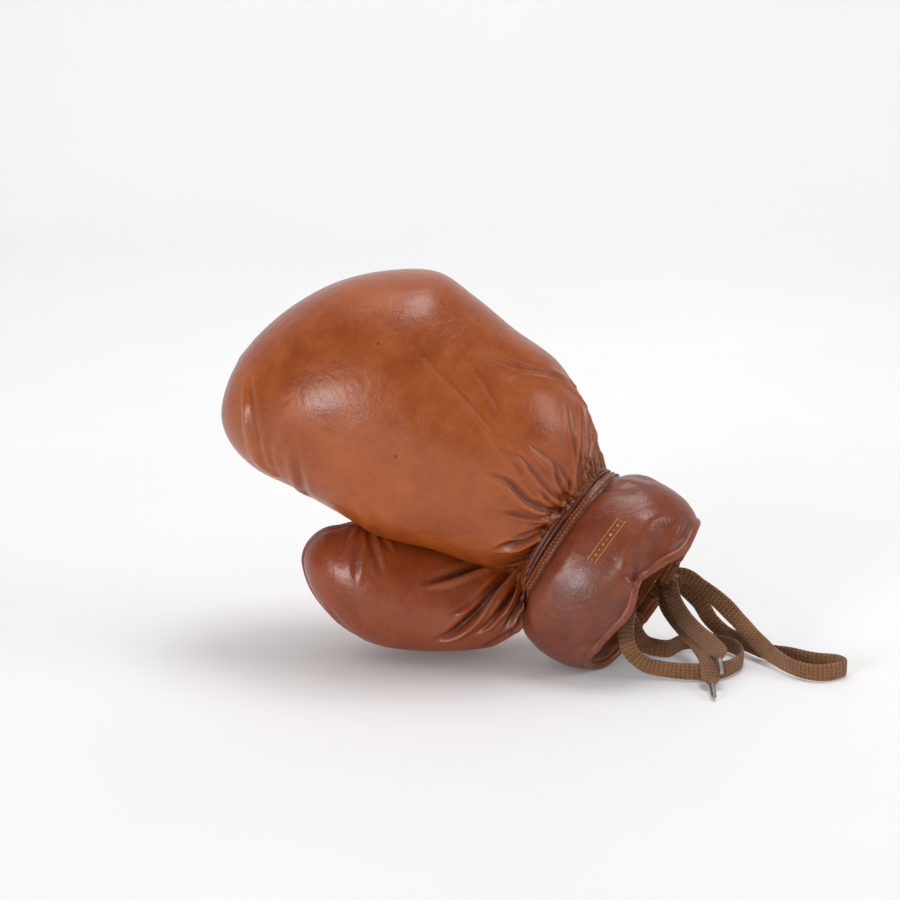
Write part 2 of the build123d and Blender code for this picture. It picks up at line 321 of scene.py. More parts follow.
def grid_mesh(name, grid, wrap):
    """A quad mesh over a grid of points in millimetres. wrap closes it round its second axis."""
    rings, around, _ = grid.shape
    index = np.arange(rings * around).reshape(rings, around)
    right = np.roll(index, -1, axis=1) if wrap else index[:, 1:]
    left = index if wrap else index[:, :-1]
    faces = np.stack([left[:-1], left[1:], right[1:], right[:-1]], axis=-1).reshape(-1, 4).tolist()
    return smooth_mesh(name, grid.reshape(-1, 3) * MM, faces)


def outward(mesh):
    """Turns a closed mesh's faces to the outside."""
    work = bmesh.new()
    work.from_mesh(mesh)
    bmesh.ops.recalc_face_normals(work, faces=work.faces)
    work.to_mesh(mesh)
    work.free()


def piece(name, mesh, material, slot, replaces=(), body=None, blend=None, **fields):
    """Makes a piece of the glove from a mesh: gives it its fields and finish, hides the CAD nodes it replaces
    and hangs it on its body; a blended piece only has its transform baked.
    """
    mesh.name = name
    for field, values in fields.items():
        attribute = mesh.attributes.new(field, "FLOAT", "POINT")
        attribute.data.foreach_set("value", np.asarray(values, np.float32).ravel())
    mesh.materials.append(material)
    obj = bpy.data.objects.new(name, mesh)
    bpy.context.scene.collection.objects.link(obj)
    if replaces:
        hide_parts(*replaces)
    if blend:
        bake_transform(obj)
    else:
        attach(obj, body)
    return obj


def joined(parts):
    """One closed mesh from lists of (points, faces), points in millimetres."""
    points, faces, start = [], [], 0
    for part_points, part_faces in parts:
        points.append(np.asarray(part_points).reshape(-1, 3))
        faces.extend([[i + start for i in face] for face in part_faces])
        start += len(points[-1])
    mesh = smooth_mesh("joined", np.concatenate(points) * MM, faces)
    outward(mesh)
    return mesh


def tube_grid(path, radius, sides=12, closed=False, flat=1.0, up=None):
    """Rings of points round a path. radius may vary along it, and flat squeezes it along up."""
    path = np.asarray(path, float)
    if closed:
        tangents = unit(np.roll(path, -1, axis=0) - np.roll(path, 1, axis=0))
    else:
        tangents = unit(np.gradient(path, axis=0))
    if up is None:
        normal = unit(np.cross(tangents[0], (0.3, 0.5, 0.8)))
        normals = []
        for tangent in tangents:
            normal = unit(normal - tangent * np.dot(normal, tangent))
            normals.append(normal)
        normals = np.array(normals)
    else:
        up = np.broadcast_to(up, path.shape)
        normals = unit(up - tangents * np.sum(up * tangents, axis=1, keepdims=True))
    across = np.cross(tangents, normals)
    angle = np.linspace(0, 2 * math.pi, sides, endpoint=False)
    radius = np.broadcast_to(radius, len(path))[:, None, None]
    return path[:, None] + radius * (across[:, None] * np.cos(angle)[None, :, None]
                                     + flat * normals[:, None] * np.sin(angle)[None, :, None])


def tube_part(grid, closed=False):
    """The points and faces of a tube, with its ends filled or joined."""
    rings, sides, _ = grid.shape
    index = np.arange(rings * sides).reshape(rings, sides)
    nxt = np.roll(index, -1, axis=1)
    if closed:
        below, below_next = np.roll(index, -1, axis=0), np.roll(nxt, -1, axis=0)
        faces = np.stack([index, nxt, below_next, below], axis=-1).reshape(-1, 4).tolist()
    else:
        faces = np.stack([index[:-1], nxt[:-1], nxt[1:], index[1:]], axis=-1).reshape(-1, 4).tolist()
        faces += [index[0][::-1].tolist(), index[-1].tolist()]
    return grid.reshape(-1, 3), faces


def stitches(places, directions, normals, length, radius, lift):
    """Short arched threads, each sinking into the leather at both ends."""
    parts = []
    share = np.linspace(-1, 1, 7)
    for place, direction, normal in zip(places, unit(directions), normals):
        path = (place + np.outer(share * length / 2, direction)
                + np.outer(lift * (1 - share**2) - radius * share**4 * 1.4, normal))
        parts.append(tube_part(tube_grid(path, radius * (1 - 0.45 * share**6), sides=6, up=normal)))
    return joined(parts)


# ---------------------------------------------------------------- materials

class Shader:
    """A small builder for node materials."""

    def __init__(self, name):
        self.material = bpy.data.materials.new(name)
        self.material.use_nodes = True
        self.tree = self.material.node_tree
        self.bsdf = self.tree.nodes["Principled BSDF"]
        self.coords = self.tree.nodes.new("ShaderNodeTexCoord").outputs["Object"]

    def set(self, node, inputs):
        for key, value in inputs.items():
            if isinstance(value, bpy.types.NodeSocket):
                self.tree.links.new(value, node.inputs[key])
            else:
                node.inputs[key].default_value = value
        return node

    def add(self, kind, inputs, **props):
        node = self.tree.nodes.new("ShaderNode" + kind)
        for key, value in props.items():
            setattr(node, key, value)
        return self.set(node, inputs)

    def noise(self, scale, detail=3.0, roughness=0.55, distortion=0.0):
        inputs = {"Vector": self.coords, "Scale": scale, "Detail": detail, "Roughness": roughness,
                  "Distortion": distortion}
        return self.add("TexNoise", inputs).outputs["Fac"]

    def cells(self, scale, feature="F1"):
        inputs = {"Vector": self.coords, "Scale": scale}
        return self.add("TexVoronoi", inputs, feature=feature).outputs["Distance"]

    def ramp(self, value, low, high, to_low=0.0, to_high=1.0):
        inputs = {"Value": value, "From Min": low, "From Max": high, "To Min": to_low, "To Max": to_high}
        return self.add("MapRange", inputs).outputs["Result"]

    def math(self, operation, a, b=0.0):
        return self.add("Math", {0: a, 1: b}, operation=operation).outputs[0]

    def times(self, a, b):
        return self.math("MULTIPLY", a, b)

    def mix(self, share, a, b):
        node = self.tree.nodes.new("ShaderNodeMix")
        node.data_type = "RGBA"
        for key, value in (("Factor_Float", share), ("A_Color", a), ("B_Color", b)):
            socket = next(s for s in node.inputs if s.identifier == key)
            if isinstance(value, bpy.types.NodeSocket):
                self.tree.links.new(value, socket)
            else:
                socket.default_value = (*value, 1.0) if isinstance(value, tuple) else value
        return next(s for s in node.outputs if s.identifier == "Result_Color")

    def field(self, name):
        node = self.tree.nodes.new("ShaderNodeAttribute")
        node.attribute_name = name
        return node.outputs["Fac"]

    def bump(self, height, strength, distance, under=None):
        inputs = {"Height": height, "Strength": strength, "Distance": distance}
        if under is not None:
            inputs["Normal"] = under
        return self.add("Bump", inputs).outputs["Normal"]

    def finish(self, color, roughness, normal, **extra):
        inputs = {"Base Color": color, "Roughness": roughness, "Normal": normal}
        inputs.update({key.replace("_", " "): value for key, value in extra.items()})
        self.set(self.bsdf, inputs)
        return self.material


def srgb(red, green, blue):
    """A colour from its everyday 0 to 255 numbers."""
    def linear(c):
        c = c / 255
        return c / 12.92 if c <= 0.04045 else ((c + 0.055) / 1.055)**2.4
    return (linear(red), linear(green), linear(blue))


def leather(name, base, dark, light, speck_and_shade, rough=0.33, patches=11.0):
    """Old waxed leather: patchy dye, painted shade in its folds, paler on its high parts (partly rubbed wear,
    partly painted highlight), with fine pores and dark specks.
    """
    s = Shader(name)
    broad = s.ramp(s.noise(patches, 3, 0.6, 0.6), 0.36, 0.66)
    mottle = s.ramp(s.noise(patches * 5, 7, 0.68), 0.34, 0.68)
    fine = s.noise(420, 4, 0.6)
    color = s.mix(s.times(broad, 0.7), base, dark)
    color = s.mix(s.times(mottle, 0.55), color, light)
    speck = s.ramp(s.cells(75), 0.0, 0.045, 1.0, 0.0)
    speck = s.times(speck, s.ramp(s.noise(30, 2), 0.56, 0.66))
    color = s.mix(s.times(speck, 0.55), color, speck_and_shade)
    streak = s.ramp(s.noise(26, 5, 0.7, 2.5), 0.52, 0.56)
    color = s.mix(s.times(streak, 0.10), color, dark)
    # Painted shade: the shade field darkens folds, grooves and shaded places towards the darkest colour
    shade = s.field("shade")
    color = s.mix(s.times(s.ramp(shade, 0.05, 0.9), 0.85), color, speck_and_shade)
    # Ridges are paler: partly rubbed wear, partly painted highlight
    color = s.mix(s.times(s.ramp(s.field("ridge"), 0.1, 1.0), 0.5), color, light)
    color = s.mix(s.times(s.ramp(fine, 0.35, 0.65), 0.12), color, dark)
    pores = s.ramp(s.cells(760, "SMOOTH_F1"), 0.0, 0.55)
    hairlines = s.ramp(s.noise(150, 6, 0.72, 1.2), 0.47, 0.53)
    creases = s.ramp(s.noise(46, 4, 0.6, 1.6), 0.40, 0.60)
    normal = s.bump(creases, 0.15, 0.0012)
    normal = s.bump(hairlines, 0.10, 0.0004, normal)
    normal = s.bump(pores, 0.16, 0.0003, normal)
    normal = s.bump(fine, 0.10, 0.0003, normal)
    patchy = s.ramp(mottle, 0, 1, rough - 0.05, rough + 0.09)
    roughness = s.math("ADD", patchy, s.times(shade, 0.15))
    return s.finish(color, roughness, normal, Specular_IOR_Level=0.45, Coat_Weight=0.16, Coat_Roughness=0.2)


def suede(name, base, dark):
    """The napped inner side of leather."""
    s = Shader(name)
    nap = s.noise(900, 5, 0.7)
    blotch = s.ramp(s.noise(70, 5, 0.65), 0.35, 0.65)
    color = s.mix(blotch, base, dark)
    color = s.mix(s.times(s.ramp(nap, 0.35, 0.65), 0.35), color, dark)
    normal = s.bump(nap, 0.5, 0.0004, s.bump(blotch, 0.15, 0.0006))
    return s.finish(color, 0.86, normal, Sheen_Weight=0.25, Specular_IOR_Level=0.2)


def cloth_weave(name, base, dark, pitch=1.1):
    """A plain woven cotton, from two crossing sets of threads."""
    s = Shader(name)
    xyz = s.add("SeparateXYZ", {0: s.coords})
    rate = 2 * math.pi / (pitch * MM)
    warp = s.math("SINE", s.times(xyz.outputs[0], rate))
    weft = s.math("SINE", s.times(xyz.outputs[2], rate))
    weave = s.ramp(s.times(warp, weft), -1, 1)
    # Painted shade: darker where the threads lie low in the weave
    color = s.mix(weave, dark, base)
    color = s.mix(s.ramp(s.noise(40, 4), 0.35, 0.7, 0, 0.5), color, dark)
    return s.finish(color, 0.9, s.bump(weave, 0.5, 0.0004), Specular_IOR_Level=0.15)


def braid(name, base, dark, light, columns, pitch):
    """Flat braided cotton: columns of slanted strands that meet in points, fuzzy and dusty."""
    s = Shader(name)
    uv = s.tree.nodes.new("ShaderNodeTexCoord").outputs["UV"]
    xy = s.add("SeparateXYZ", {0: uv})
    across = s.times(xy.outputs[0], columns)
    zigzag = s.math("PINGPONG", across, 0.5)
    warp = s.times(s.math("SUBTRACT", s.noise(160, 3), 0.5), 0.5)
    phase = s.math("ADD", s.math("DIVIDE", xy.outputs[1], pitch), s.math("ADD", zigzag, warp))
    strand = s.math("ABSOLUTE", s.math("SINE", s.times(phase, math.pi)))
    strand = s.math("POWER", strand, 0.6)
    groove = s.ramp(s.math("PINGPONG", across, 0.5), 0.0, 0.10)
    height = s.times(strand, s.math("ADD", s.times(groove, 0.6), 0.4))
    fuzz = s.noise(1500, 4, 0.7)
    # Painted shade: the braid is darker where its strands lie low and in the grooves between its columns
    color = s.mix(s.ramp(height, 0.15, 0.85), dark, base)
    color = s.mix(s.ramp(s.noise(45, 4, 0.6), 0.4, 0.72, 0, 0.55), color, light)
    color = s.mix(s.ramp(fuzz, 0.35, 0.7, 0, 0.4), color, dark)
    normal = s.bump(fuzz, 0.45, 0.0003, s.bump(height, 0.8, 0.0009))
    return s.finish(color, 0.88, normal, Sheen_Weight=0.2, Specular_IOR_Level=0.15)


def thread(name, base, dark):
    """Waxed twisted linen thread."""
    s = Shader(name)
    twist = s.ramp(s.noise(1400, 3, 0.6, 1.0), 0.35, 0.65)
    color = s.mix(twist, dark, base)
    color = s.mix(s.ramp(s.noise(60, 3), 0.45, 0.7, 0, 0.6), color, dark)
    return s.finish(color, 0.6, s.bump(twist, 0.5, 0.0002))


def metal(name, base, dark, rough):
    """Dull metal with tarnish and fine scratches."""
    s = Shader(name)
    tarnish = s.ramp(s.noise(320, 6, 0.7), 0.35, 0.7)
    scratch = s.noise(2500, 2, 0.5)
    color = s.mix(tarnish, base, dark)
    roughness = s.ramp(tarnish, 0, 1, rough, rough + 0.25)
    return s.finish(color, roughness, s.bump(scratch, 0.2, 0.0001), Metallic=0.9)


def foil(name, base, worn):
    """Gold foil pressed into leather, partly rubbed away."""
    s = Shader(name)
    rubbed = s.ramp(s.noise(700, 5, 0.7), 0.42, 0.62)
    color = s.mix(rubbed, base, worn)
    metallic = s.ramp(rubbed, 0, 1, 0.65, 0.0)
    return s.finish(color, 0.42, s.bump(rubbed, 0.3, 0.0001), Metallic=metallic)


# Each leather: its dye, the dye's darker patches, its paler colour for random patches and for ridges (partly
# rubbed wear, partly painted highlight), and the colour of its specks and of the painted shade in its folds
# and grooves
FIST_LEATHER = leather(
    "leather_fist", srgb(156, 72, 22), srgb(114, 44, 15), srgb(174, 92, 33), srgb(42, 13, 7))
THUMB_LEATHER = leather(
    "leather_thumb", srgb(134, 56, 20), srgb(98, 35, 15), srgb(154, 77, 31), srgb(36, 12, 8))
CUFF_LEATHER = leather(
    "leather_cuff", srgb(118, 51, 27), srgb(86, 33, 18), srgb(140, 72, 40), srgb(32, 12, 9), rough=0.35)
BINDING_LEATHER = leather(
    "leather_binding", srgb(122, 54, 31), srgb(88, 35, 21), srgb(150, 80, 48), srgb(44, 17, 12),
    rough=0.40, patches=30)
WELT_LEATHER = leather(
    "leather_welt", srgb(92, 42, 31), srgb(64, 27, 21), srgb(128, 72, 52), srgb(30, 12, 9),
    rough=0.38, patches=30)
FACING = suede("suede_facing", srgb(172, 100, 46), srgb(124, 64, 28))
DARK_LINING = cloth_weave("cotton_lining", srgb(34, 24, 18), srgb(14, 10, 8))
LACE = braid("cotton_lace", srgb(146, 98, 62), srgb(64, 37, 22), srgb(176, 130, 90), columns=5.0, pitch=2.5)
THREAD = thread("waxed_thread", srgb(186, 132, 78), srgb(122, 74, 40))
AGLET_METAL = metal("aglet_metal", srgb(190, 180, 170), srgb(110, 96, 84), 0.35)
EYELET_METAL = metal("eyelet_metal", srgb(92, 76, 60), srgb(40, 32, 26), 0.4)
GOLD_FOIL = foil("gold_foil", srgb(214, 158, 80), srgb(150, 86, 48))


# ---------------------------------------------------------------- fist

FIST_GRID, FIST_CLOTH = (230, 360), (66, 144)
INSIDE_FIST = ("back_panel", "palm_panel", "knuckle_pad", "palm_pad", "grip_bar")
# Folds of the fist: places as (distance from the wrist, degrees), where the degrees run from the thumb side
# over the back of the hand. Then width, depth, how much of the depth stands up as ridges, and for those that
# also fade at their last place, over which share.
FIST_FOLDS = [
    ([(36, 112), (25, 106), (10, 102), (2, 101)], 1.3, 1.3, 0.5),
    ([(66, 84), (49, 85), (31, 84), (14, 88), (2, 92)], 1.8, 1.8, 0.8),
    ([(34, 94), (22, 92), (8, 92)], 1.2, 1.1, 0.6),
    ([(48, 66), (36, 73), (24, 78), (12, 83), (2, 88)], 1.3, 1.4, 0.7),
    ([(40, 76), (30, 78), (16, 82)], 1.0, 0.8, 0.7),
    ([(62, 98), (50, 99), (38, 98), (24, 97), (8, 96)], 1.4, 1.1, 0.7),
    ([(58, 106), (44, 108), (26, 112), (8, 110)], 1.6, 0.8, 0.6),
    ([(33, 40), (27, 52), (18, 60), (6, 70)], 2.0, 2.5, 0.8),
    ([(30, 56), (22, 64), (8, 76)], 1.3, 1.5, 0.6),
    ([(42, 165), (28, 143), (19, 128), (6, 116)], 1.6, 1.3, 0.8),
    ([(34, 178), (20, 164), (10, 146), (2, 134)], 1.6, 1.4, 0.8),
    ([(50, 150), (34, 134), (18, 122), (4, 112)], 1.3, 0.7, 0.8),
    ([(30, 190), (14, 176), (4, 156)], 1.4, 1.1, 0.7),
    ([(146, 119), (127, 114), (95, 110), (46, 94)], 1.7, 0.7, 0.6),
    ([(120, 128), (98, 124), (76, 114)], 1.6, 0.45, 0.6),
    ([(106, 132), (77, 141), (46, 166)], 7.0, 1.1, 0.3),
    ([(106, 131), (80, 139), (58, 152), (34, 170)], 1.5, 0.8, 1.1),
    ([(92, 140), (70, 148), (44, 174)], 1.3, 0.6, 1.1),
    ([(201, 84), (187, 57), (167, 27)], 3.0, 1.0, 0.5),
    ([(194, 66), (176, 40), (160, 22)], 2.2, 0.7, 0.6),
    ([(160, 56), (143, 27), (136, 12)], 2.6, 1.1, 0.5),
    ([(176, 60), (166, 38), (156, 22)], 2.0, 0.6, 0.6),
    ([(110, 40), (96, 28), (88, 12)], 4.0, 0.8, 0.4),
]
PALM_FOLDS = [
    ([(134, 346), (128, 320), (124, 270), (127, 232), (131, 212)], 4.5, 4.0, 0.4, 0.35),
    ([(84, 330), (80, 300), (79, 270), (80, 240), (84, 218)], 5.0, 2.4, 0.4, 0.35),
    ([(60, 345), (52, 318), (44, 296)], 3.5, 2.0, 0.5, 0.35),
    ([(150, 330), (146, 300), (145, 270), (147, 235)], 2.4, 1.4, 0.5, 0.35),
    ([(170, 320), (166, 290), (168, 250)], 2.4, 1.0, 0.5, 0.35),
]
FIST_NICKS = [(150, 110), (108, 70)]
DEEPEST_FOLD = 1.8
FIST_SEAM_Y, FIST_SEAM_TILT = -16.0, math.radians(10)


def gathers(first, last, count, near, far, seed, strength=1.0):
    """Folds that run into the wrist, spread over an arc, each a little different."""
    rng = np.random.default_rng(seed)
    folds = []
    for angle in np.linspace(first, last, count):
        angle = angle + rng.uniform(-4, 4)
        length, bend = rng.uniform(near, far), rng.uniform(-7, 7)
        line = [(length, angle + bend), (length * 0.55, angle + bend * 0.3), (1, angle)]
        folds.append((line, rng.uniform(1.0, 2.1), strength * rng.uniform(0.8, 2.4), rng.uniform(0.5, 0.8)))
    return folds


def read_grid(grid, i, j):
    """A point between the points of a grid that closes round its second axis."""
    i0, j0 = int(min(i, len(grid) - 2)), int(j)
    fi, fj = i - i0, j - j0
    around = grid.shape[1]
    rows = [grid[k, j0 % around] * (1 - fj) + grid[k, (j0 + 1) % around] * fj for k in (i0, i0 + 1)]
    return rows[0] * (1 - fi) + rows[1] * fi


def on_grid(grid, z_of_ring, places):
    """Points of a grid at (distance along it, angle in degrees) pairs."""
    rings, around, _ = grid.shape
    i = [np.interp(z, z_of_ring, np.arange(rings)) for z, _ in places]
    j = [degrees % 360 / 360 * around for _, degrees in places]
    return np.array([read_grid(grid, *place) for place in zip(i, j)])


def seam_distance(points):
    """How far points are above the plane of the seam between the back and the palm."""
    _, y, z = FIST.read(points)
    return (y - FIST_SEAM_Y) * math.cos(FIST_SEAM_TILT) + z * math.sin(FIST_SEAM_TILT)


def seam_line(grid, first_ring, last_ring):
    """The loop where that plane crosses a grid: up one side, round the end and down the other."""
    sides = ([], [])
    for ring in grid[first_ring:last_ring]:
        d = seam_distance(ring)
        crossing = np.flatnonzero(np.sign(d) != np.sign(np.roll(d, -1)))
        for side, k in zip(sides, crossing):
            share = d[k] / (d[k] - d[(k + 1) % len(d)])
            side.append(ring[k] * (1 - share) + ring[(k + 1) % len(d)] * share)
    return np.array(sides[0] + sides[1][::-1])


def fist_features(height, points):
    """The lobe beside the wrist, the hollow of the palm and the roll that the fingers close on."""
    swell(height, points, FIST.at(-48, 30, 56), 30, 1.8)
    swell(height, points, FIST.at(-56, 8, 42), 26, 1.6)
    swell(height, points, FIST.at(-12, -58, 62), 26, -8.0)
    for x in (-44, -22, 0, 20):
        swell(height, points, FIST.at(x, -56, 104), 15, 3.0)
    swell(height, points, FIST.at(-14, -52, 158), 30, 2.0)


def settled_fist():
    """The fist's skin as a grid, buckled by the cloth simulation where it gathers into the wrist."""
    sections = [oval(CUFF, *row) for row in FIST_MOUTH] + [oval(FIST, *row) for row in FIST_OVALS]
    grid = loft(sections, *FIST_GRID)
    coarse = loft(sections, *FIST_CLOTH)
    z = FIST.read(coarse)[2]
    near = np.exp(-np.clip(z - 2, 0, None) / 26)
    loose = 1.0 + 0.30 * near
    hold = np.where(z < 1.5, 1.0, 0.25 * (1 - near))
    moved = settle(coarse, loose[..., None], hold)
    moved *= smoothstep((z - 1) / 6)[..., None]
    return grid + resized(moved, FIST_GRID)


def press_fist(grid, points, normals):
    """Heights, ridges and shade of the fist's skin: its features, its folds, its nicks and its painted shade.
    """
    height, shade = np.zeros(len(points)), np.zeros(len(points))
    fist_features(height, points)
    broad = height.copy()
    ring_z = FIST.read(grid.mean(axis=1))[2]
    place = partial(on_grid, grid, ring_z)
    small = gathers(0, 198, 30, 8, 30, SEED, 0.5) + gathers(206, 354, 25, 14, 46, SEED + 1, 0.8)
    surface = (height, shade, points, normals)
    press(surface, FIST_FOLDS + small, place)
    press(surface, PALM_FOLDS, place)
    for nick in place(FIST_NICKS):
        shade = np.maximum(shade, 1.3 * np.exp(-np.sum((points - nick)**2, axis=1) / 0.6))
    folds = height - broad
    height = broad + np.where(folds < 0, -DEEPEST_FOLD * np.tanh(-folds / DEEPEST_FOLD), folds)
    z = FIST.read(points)[2]
    # The seam's groove, with painted shade along it
    seam = np.exp(-(seam_distance(points) / 2.2)**2) * smoothstep((z - 6) / 6)
    height -= 1.3 * seam
    shade = np.maximum(shade, 0.6 * seam)
    # Painted shade: darker round the wrist where the leather gathers, and in a broad band along the seam
    # between back and palm
    shade += 0.40 * np.exp(-np.clip(z, 0, None) / 22)
    shade += 0.28 * np.exp(-(seam_distance(points) / 26)**2)
    return height, np.clip((height - broad) / 1.3, 0, 1), shade


def build_fist():
    grid = settled_fist()
    points, normals = grid.reshape(-1, 3), closed_normals(grid).reshape(-1, 3)
    height, ridge, shade = press_fist(grid, points, normals)
    grid = (points + normals * height[:, None]).reshape(grid.shape)
    mesh = grid_mesh("fist_skin", grid, wrap=True)
    outward(mesh)
    start, end = CUFF.at(-18, 0, 34), CUFF.at(-18, 0, 2)
    piece("fist_skin", mesh, FIST_LEATHER, "leather_fist", replaces=INSIDE_FIST,
          blend=("fist", "cuff", start, end), shade=shade, ridge=ridge)
    return grid


def build_fist_seam(grid):
    """The welt that stands up between back and palm, thinner towards both its ends."""
    path = along(seam_line(grid, 26, FIST_GRID[0] - 6), 520)
    wobble = 1 + 0.12 * waves(np.linspace(0, 60, len(path)), 0, SEED + 2)
    swelling = np.clip(np.linspace(0, 30, len(path)), 0.3, 1)
    mesh = joined([tube_part(tube_grid(path, 1.5 * wobble * swelling * swelling[::-1]))])
    zeros = np.zeros(len(mesh.vertices))
    piece("fist_seam_cord", mesh, FIST_LEATHER, "leather_fist", replaces=("fist_seam_welt",), body="fist",
          shade=zeros + 0.12, ridge=zeros + 0.2)


fist_grid = build_fist()
build_fist_seam(fist_grid)


# ---------------------------------------------------------------- thumb

THUMB_GRID, THUMB_CLOTH = (170, 220), (50, 96)
INSIDE_THUMB = ("thumb_outer_panel", "thumb_inner_panel", "thumb_root_gusset", "thumb_pad", "thumb_lining")
# Folds of the thumb: 0 degrees is its underside, 90 the side of the back of the hand and 180 its top.
THUMB_FOLDS = [
    ([(60, 122), (42, 138), (26, 158), (12, 176), (2, 184)], 2.2, 2.4, 0.8),
    ([(54, 66), (38, 80), (25, 104), (13, 138), (3, 162), (-8, 178)], 2.2, 3.4, 0.9),
    ([(44, 96), (30, 112), (16, 138), (4, 166)], 1.4, 1.0, 1.0),
    ([(20, 84), (8, 112), (0, 138), (-8, 158)], 1.5, 2.4, 0.9),
    ([(28, 74), (16, 92), (6, 118), (-2, 142)], 1.3, 1.6, 0.9),
    ([(14, 62), (4, 88), (-4, 118), (-10, 140)], 1.5, 2.2, 0.9),
    ([(8, 34), (2, 62), (-5, 92), (-10, 116)], 1.4, 2.0, 0.8),
    ([(26, 44), (12, 56), (-2, 70)], 1.9, 1.3, 0.5),
    ([(34, 150), (18, 172), (6, 188)], 1.4, 1.3, 0.7),
    ([(92, 100), (92, 129), (91, 172)], 1.9, 0.7, 0.6),
    ([(76, 118), (82, 141), (88, 172)], 1.8, 0.8, 0.6),
    ([(104, 120), (98, 150), (94, 174)], 1.6, 0.5, 0.6),
    ([(70, 142), (77, 158), (84, 176)], 1.4, 0.5, 0.6),
    ([(62, 96), (44, 88), (30, 84)], 5.0, 0.8, 0.4),
    ([(110, 60), (104, 40), (92, 22)], 3.0, 0.7, 0.4),
]


def settled_thumb():
    """The thumb's skin as a grid, flat where it stands on the floor, and buckled at its root."""
    sections = [oval(CUFF, *row) for row in THUMB_MOUTH]
    sections += [np.concatenate(row).astype(float) for row in THUMB_ROOT]
    sections += [oval(THUMB, *row) for row in THUMB_OVALS]
    grid = soft_floor(loft(sections, *THUMB_GRID))
    coarse = soft_floor(loft(sections, *THUMB_CLOTH))
    near = np.exp(-np.clip(THUMB.read(coarse)[2] + 8, 0, None) / 24)
    loose = 1.0 + 0.25 * near
    ring = np.arange(len(coarse))[:, None] * np.ones(coarse.shape[1])
    hold = np.where(ring < 4, 1.0, 0.3 * (1 - near))
    moved = settle(coarse, loose[..., None], hold, cap=4.0)
    moved *= smoothstep((ring - 3) / 5)[..., None]
    return soft_floor(grid + resized(moved, THUMB_GRID))


def build_thumb():
    grid = settled_thumb()
    points, normals = grid.reshape(-1, 3), closed_normals(grid).reshape(-1, 3)
    ring_z = np.maximum.accumulate(THUMB.read(grid.mean(axis=1))[2])
    rise = 4.0 * smoothstep((ring_z - 2) / 16) * smoothstep((104 - ring_z) / 16)
    angle = np.linspace(0, 2 * math.pi, grid.shape[1], endpoint=False)
    crown = (rise[:, None] * np.clip(-np.cos(angle), 0, 1)[None, :]**2).ravel()
    height, shade = crown.copy(), np.zeros(len(points))
    folds = THUMB_FOLDS + gathers(190, 350, 12, 10, 34, SEED + 3)
    press((height, shade, points, normals), folds, partial(on_grid, grid, ring_z))
    # Painted shade: the thumb is darker toward its root at the cuff
    shade += 0.20 * np.exp(-np.clip(THUMB.read(points)[2] + 4, 0, None) / 14)
    grid = soft_floor((points + normals * height[:, None]).reshape(grid.shape))
    mesh = grid_mesh("thumb_skin", grid, wrap=True)
    outward(mesh)
    piece("thumb_skin", mesh, THUMB_LEATHER, "leather_fist", replaces=INSIDE_THUMB,
          blend=("fist", "thumb", (54, -8, 40), (32, -8, 40)), shade=shade,
          ridge=np.clip((height - crown) / 1.3, 0, 1))
    return grid


def build_thumb_seam(grid):
    """The thumb's own welt: along its top, over the tip and down to the floor."""
    top = grid.shape[1] // 2
    path = np.concatenate([grid[60:-1, top], grid[:-1, 0][::-1][:60]])
    path = along(path, 260)
    mesh = joined([tube_part(tube_grid(path, 1.25 + 0.1 * waves(np.linspace(0, 40, 260), 1, SEED)))])
    fields = np.full(len(mesh.vertices), 0.5)
    piece("thumb_seam_cord", mesh, THUMB_LEATHER, "leather_fist", replaces=("thumb_seam_welt",), body="thumb",
          shade=fields * 0, ridge=fields)


thumb_grid = build_thumb()
build_thumb_seam(thumb_grid)


# ---------------------------------------------------------------- cuff

WRIST_Z = -1.2
FLAP_CUT_Y = -10.0
SLIT_X, SLIT_HALF = -8.0, 6.0
STAY_WIDTH = 15.0
RIM_WALL = 4.2
# The rim's height round the cuff: (degrees from the thumb side over the back of the hand, z)
RIM_WAVE = [
    (-60, -63), (-20, -61.5), (22, -55), (50, -58.5), (76, -61.5), (97, -57.5), (113, -61), (131, -66),
    (155, -64), (178, -61), (215, -60), (260, -60.5), (300, -60),
]


def cuff_ovals(z):
    rows = np.array(CUFF_OVALS[::-1], float)
    return hermite(rows[:, 1:], rows[:, 0], z)


def rim_z(angle):
    degrees = np.degrees(angle)
    knots = np.array([row[0] for row in RIM_WAVE], float)
    values = np.array([row[1] for row in RIM_WAVE], float)
    return hermite(values, knots, np.clip(degrees, knots[0], knots[-1]))


def cuff_point(angle, share):
    """A point of the cuff's outside, from the angle round it and the share of the way from wrist to rim."""
    angle, share = np.broadcast_arrays(angle, share)
    z = WRIST_Z + share * (rim_z(angle) - WRIST_Z)
    rows = cuff_ovals(z)
    puff = 1.6 * smoothstep((-z - 8.5) / 10) * smoothstep((1 - share) / 0.25)
    groove = -1.3 * np.exp(-((z + 8.8) / 1.6)**2) - 1.4 * np.exp(-((1 - share) * 60 / 3.2)**2)
    grow = puff + groove
    return CUFF.at(rows[..., 0] + (rows[..., 1] + grow) * np.cos(angle),
                   rows[..., 2] + (rows[..., 3] + grow) * np.sin(angle), z)


def cuff_normal(angle, share):
    step = 1e-3
    round_ = cuff_point(angle + step, share) - cuff_point(angle - step, share)
    down = cuff_point(angle, share + step) - cuff_point(angle, share - step)
    normal = unit(np.cross(down, round_))
    x, y, _ = CUFF.read(CUFF.origin + normal)
    facing = x * np.cos(angle) + y * np.sin(angle)
    return normal * np.sign(facing)[..., None]


def cut_angle(side):
    """The angle where a flap meets the back of the cuff, on the thumb side (1) or the little side (-1)."""
    dip = math.asin(-FLAP_CUT_Y / 39.0)
    return -dip if side > 0 else math.pi + dip


